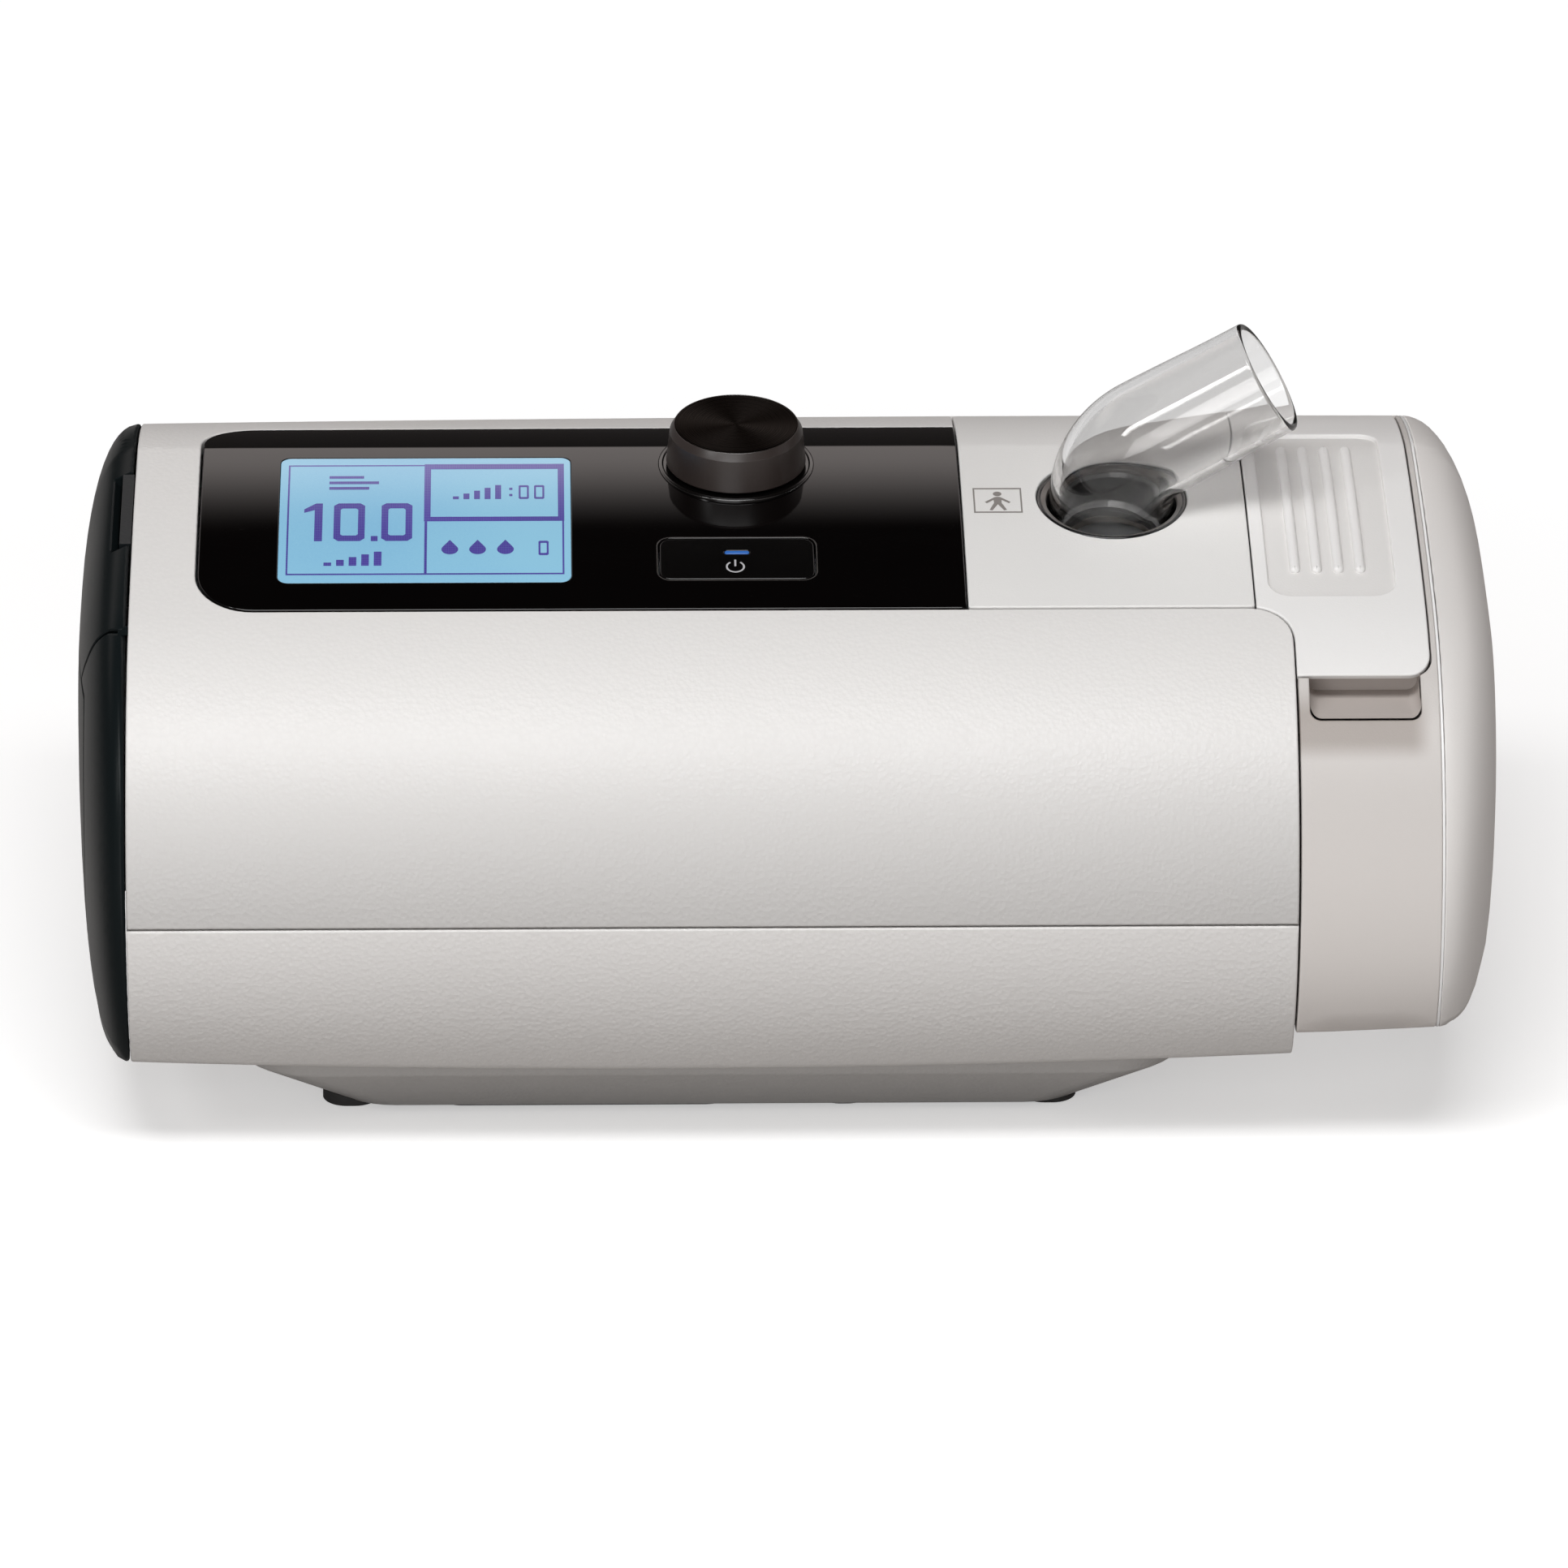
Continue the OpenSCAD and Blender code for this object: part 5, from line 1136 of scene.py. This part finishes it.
# ---------------------------------------------------------------- knob, outlet and elbow
def knob():
    at = on_top(*KNOB_AT)
    low, high = 0.75, 8.5
    body = rounded_profile([(11.0, low, 0), (13.0, low, 0.25), (12.35, high - 1.45, 0.2), (11.5, high, 0.15),
                            (11.35, high - 0.3, 0.08), (0.01, high - 0.35, 0)])
    turned(Form(), body, at).build("knob_skirt", "knob", [FIN["knob_satin"]], "knob_black", ["knob_body"])
    face = rounded_profile([(11.35, high - 0.32, 0), (11.3, high - 0.1, 0.1), (10.9, high - 0.04, 0.2),
                            (0.01, high - 0.14, 0)])
    turned(Form(), face, at).build("knob_spun_face", "knob", [FIN["knob_spun"]], "knob_spun", ["knob_face"])
    collar = rounded_profile([(14.5, -1.5, 0), (14.5, 0.2, 0.3), (13.8, 0.3, 0.2), (13.5, 0.06, 0.1), (3.7, 0.04, 0),
                              (3.6, -1.5, 0)])
    turned(Form(), collar, at).build("knob_collar_ring", "housing", [FIN["knob_black"]], "knob_black", ["knob_collar"])


def elbow():
    at = on_top(*PORT_AT)
    turn, bend, radius, rise, arm = 1.0, 58.5, 14.0, 8.2, 33.2
    run = radius * math.tan(math.radians(bend / 2))
    path = [((0, 0, z), 0.0) for z in np.linspace(-8, rise - run, 8)]
    for i in range(1, 25):
        t = bend * i / 24
        path.append(((radius * (1 - cos(t)), 0, rise - run + radius * sin(t)), t))
    start = np.array(path[-1][0])
    d = np.array([sin(bend), 0, cos(bend)])
    for s in np.linspace(0, arm - run, 14)[1:]:
        path.append((tuple(start + d * s), bend))
    spin = np.array([[cos(turn), -sin(turn), 0], [sin(turn), cos(turn), 0], [0, 0, 1]])
    end = np.array(path[-1][0])
    wide = [11.0 + 0.5 * float(smooth((math.dist(p, end) - 2) / 25)) for p, _ in path]

    def ring(place, lean, r, n=72):
        u, v = np.array([cos(lean), 0, -sin(lean)]), np.array([0, 1.0, 0])
        pts = [np.array(place) + r * (cos(360 * i / n) * u + sin(360 * i / n) * v) for i in range(n)]
        nor = [cos(360 * i / n) * u + sin(360 * i / n) * v for i in range(n)]
        return placed(np.array(pts) @ spin.T, at), np.array(nor) @ spin.T @ at[1].T

    out, inn = [ring(p, t, r) for (p, t), r in zip(path, wide)], [ring(p, t, 9.7) for p, t in path]
    form = Form()
    axis = d @ spin.T @ at[1].T
    rims, rim_n = [], []
    for k in range(0, 9):
        a = 180 * k / 8
        p = np.array(path[-1][0]) - d * 0.65 + d * 0.65 * sin(a)
        pts, nor = ring(p, bend, 10.35 + 0.65 * cos(a))
        rims.append(pts)
        rim_n.append(nor * cos(a) + axis * sin(a))
    form.loft([o[0] for o in out[:-1]] + rims + [i[0] for i in inn[:-1]][::-1],
              [o[1] for o in out[:-1]] + rim_n + [-i[1] for i in inn[:-1]][::-1])
    low = (inn[0][0], out[0][0])
    down = -at[1][:, 2]
    form.loft(low, [np.tile(down, (72, 1))] * 2)
    form.build("clear_elbow", "elbow", [FIN["elbow_clear"]], "elbow_clear", ["outlet_elbow"])
    socket = Form()
    turned(socket, rounded_profile([(13.9, -9, 0), (13.9, -0.55, 0.25), (13.45, -0.3, 0.25), (13.1, -0.6, 0)]), at)
    turned(socket, rounded_profile([(13.1, -0.6, 0), (12.2, -0.95, 0.2), (12.05, -1.6, 0)]), at, paint=1)
    turned(socket, rounded_profile([(12.05, -1.6, 0), (11.6, -2.4, 0.2), (11.55, -9.3, 0)]), at)
    turned(socket, [(11.55, -9.3), (8.6, -9.3), (8.6, -10.5), (13.9, -10.5)], at, paint=1)
    socket.build("outlet_ring", "housing", [FIN["socket_black"], FIN["socket_grey"]], "socket_grey", ["outlet_socket"])


# ---------------------------------------------------------------- plinth
def plinth():
    mid = np.array([-13.85, 1.0])

    form = Form()
    loops = []
    for length, width, z in ((143.0, 92.6, 1.1), (144.0, 93.0, 1.15), (144.8, 93.4, 1.5), (173.8, 107.9, 10.7),
                             (174.8, 108.4, 11.1), (175.4, 108.7, 11.6), (182.0, 112.0, 19.1), (182.0, 112.0, 19.6)):
        loops.append([(mid[0] + q[0], mid[1] + q[1], z) for q in box_loop(-length / 2, -width / 2, length / 2, width / 2, 14, 10)])
    form.loft(loops)
    form.lid(loops[0], (0, 0, -1.0))
    form.build("plinth_pan", "housing", [FIN["housing_white"]], "housing_white", ["plinth"])


# ---------------------------------------------------------------- carried-over solids
KEPT = {
    "diffuser_white": ["lcd_backlight"],
    "board_green": ["display_board", "encoder_board", "button_board", "main_board"],
    "steel": ["encoder_shaft", "button_switch", "card_socket", "tub_base_plate", "motor_spindle"],
    "inner_grey": ["panel_frame", "encoder_housing", "chamber_bay", "blower_base", "blower_cover", "air_duct",
                   "intake_box"],
    "inner_ivory": ["encoder_rotor", "pressure_sensor", "impeller"],
    "rubber_black": ["rubber_feet", "elbow_seal", "blower_mounts"],
    "seal_grey": ["tub_gasket", "inlet_seal", "outlet_seal"],
    "seal_orange": ["heater_gasket"],
    "tub_clear": ["water_tub", "tub_lid"],
    "heater_metal": ["heater_plate"],
    "filter_fleece": ["air_filter"],
    "foam_grey": ["intake_foam"],
    "motor_steel": ["blower_motor"],
    "jack_black": ["dc_inlet", "board_parts"],
    "card_dark": ["memory_card"],
}


def refinish():
    for name, nodes in KEPT.items():
        for node in nodes:
            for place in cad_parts[node].material_slots:
                place.material = FIN[name]


# ---------------------------------------------------------------- floor, light and camera
def studio():
    floor_mesh = bpy.data.meshes.new("floor")
    s = 6.0
    floor_mesh.from_pydata([(-s, -s, 0), (s, -s, 0), (s, s, 0), (-s, s, 0)], [], [(0, 1, 2, 3)])
    floor = bpy.data.objects.new("floor", floor_mesh)
    bpy.context.scene.collection.objects.link(floor)
    f = Finish("floor_white", Roughness=0.6, Emission_Strength=1.0, Specular_IOR_Level=0.2)
    ray = {kind: f.node("ShaderNodeLightPath", out=f"Is {kind} Ray") for kind in ("Camera", "Transmission", "Glossy")}
    seen = ray["Camera"].most(ray["Transmission"] * 0.92).most(ray["Glossy"] * 0.2)
    uneven, fx, fy = f.noise(400.0, 2), f.axis(0), f.axis(1)
    far = f.between((fx * fx + fy * fy) ** 0.5, 130.0, 330.0)
    near_white = f.mix(uneven, (0.9, 0.9, 0.9), (0.92, 0.92, 0.92))
    f.set(Base_Color=f.mix(seen, f.mix(uneven, (0.32, 0.30, 0.285), (0.33, 0.31, 0.295)),
                           f.mix(far, near_white, (0.0, 0.0, 0.0))),
          Emission_Color=f.mix(seen, (0.0, 0.0, 0.0), f.mix(far, (0.42, 0.42, 0.42), (1.0, 1.0, 1.0))))
    floor_mesh.materials.append(f.material)

    world = bpy.data.worlds.new("studio")
    bpy.context.scene.world = world
    world.use_nodes = True
    room = Web(world.node_tree)
    ground = room.tree.nodes["Background"]
    ray = {kind: room.node("ShaderNodeLightPath", out=f"Is {kind} Ray") for kind in ("Camera", "Transmission", "Glossy")}
    way = room.node("ShaderNodeTexCoord", out="Generated")
    x, y, z = (room.node("ShaderNodeSeparateXYZ", None, {0: way}, out=k) for k in range(3))
    # a wall of soft light low behind the machine, a dimmer one in front and one at the left
    behind = room.between(y, 0.0, 0.35) * room.between(z, 0.38, 0.50) * room.between(z, 0.70, 0.54)
    front = room.between(y, -0.35, -0.85) * room.between(z, 0.36, 0.12)
    left = room.between(x, -0.55, -0.85) * room.between(z, 0.4, 0.05)
    bands = behind * 1.25 + front * 0.9 + left * 0.1
    rear = room.between(y, -0.1, 0.3) * room.between(z, 0.6, 0.3) * 0.8
    strength = 0.13 - room.between(z, 0.35, 0.65) * 0.11
    strength = bands * ray["Glossy"] + strength * (1.0 - ray["Glossy"] * 0.65) + rear * (1.0 - ray["Glossy"])
    strength = strength + ray["Transmission"] * (0.86 - strength)
    strength = strength + ray["Camera"] * (1.0 - strength)
    feed(room.tree, ground.inputs["Strength"], strength)
    warm = room.mix(ray["Camera"].most(ray["Transmission"]), (1.0, 0.91, 0.88), (1.0, 1.0, 1.0))
    feed(room.tree, ground.inputs["Color"], warm)

    def lamp(name, at, aim, size, power, size_y=None, mirrored=False):
        light = bpy.data.lights.new(name, "AREA")
        light.shape = "RECTANGLE"
        light.size, light.size_y, light.energy = size, size_y or size, power
        obj = bpy.data.objects.new(name, light)
        obj.location = at
        obj.rotation_mode = "QUATERNION"
        obj.rotation_quaternion = (Vector(aim) - Vector(at)).to_track_quat("-Z", "Y")
        obj.visible_glossy = mirrored
        bpy.context.scene.collection.objects.link(obj)

    lamp("key_soft", (-0.08, -0.52, 0.97), (0, 0, 0.08), 0.75, 7.4, 0.28, mirrored=True)
    lamp("fill_soft", (-0.2, -1.0, 0.36), (0, 0, 0.06), 0.6, 2.7, mirrored=True)
    lamp("right_soft", (1.1, -0.35, 0.5), (0.1, 0, 0.06), 0.6, 1.2)
    # the narrow lamp that draws a bright line along the elbow
    lamp("strip", (-0.70, -0.64, 0.76), (0.085, 0, 0.12), 0.10, 1.3, 0.24, mirrored=True)

    az, el, roll, away = -1.536, 25.0, -0.40, 1.9054
    back = Vector((sin(az) * cos(el), -cos(az) * cos(el), sin(el)))
    cam = bpy.data.cameras.new("camera")
    cam.lens, cam.sensor_width = 233.65, 36.0
    cam.clip_start, cam.clip_end = 0.1, 50
    eye = bpy.data.objects.new("camera", cam)
    bpy.context.scene.collection.objects.link(eye)
    eye.location = Vector((0.00064, 0, 0.04508)) + back * away
    eye.rotation_mode = "QUATERNION"
    eye.rotation_quaternion = (-back).to_track_quat("-Z", "Y") @ Quaternion((0, 0, 1), math.radians(-roll))
    bpy.context.scene.camera = eye
    bpy.context.scene.view_settings.view_transform = "Standard"


studio()
upper_shell()
lower_shell()
panel_lens()
power_key()
screen()
deck()
chamber()
left_cap()
knob()
elbow()
plinth()
refinish()
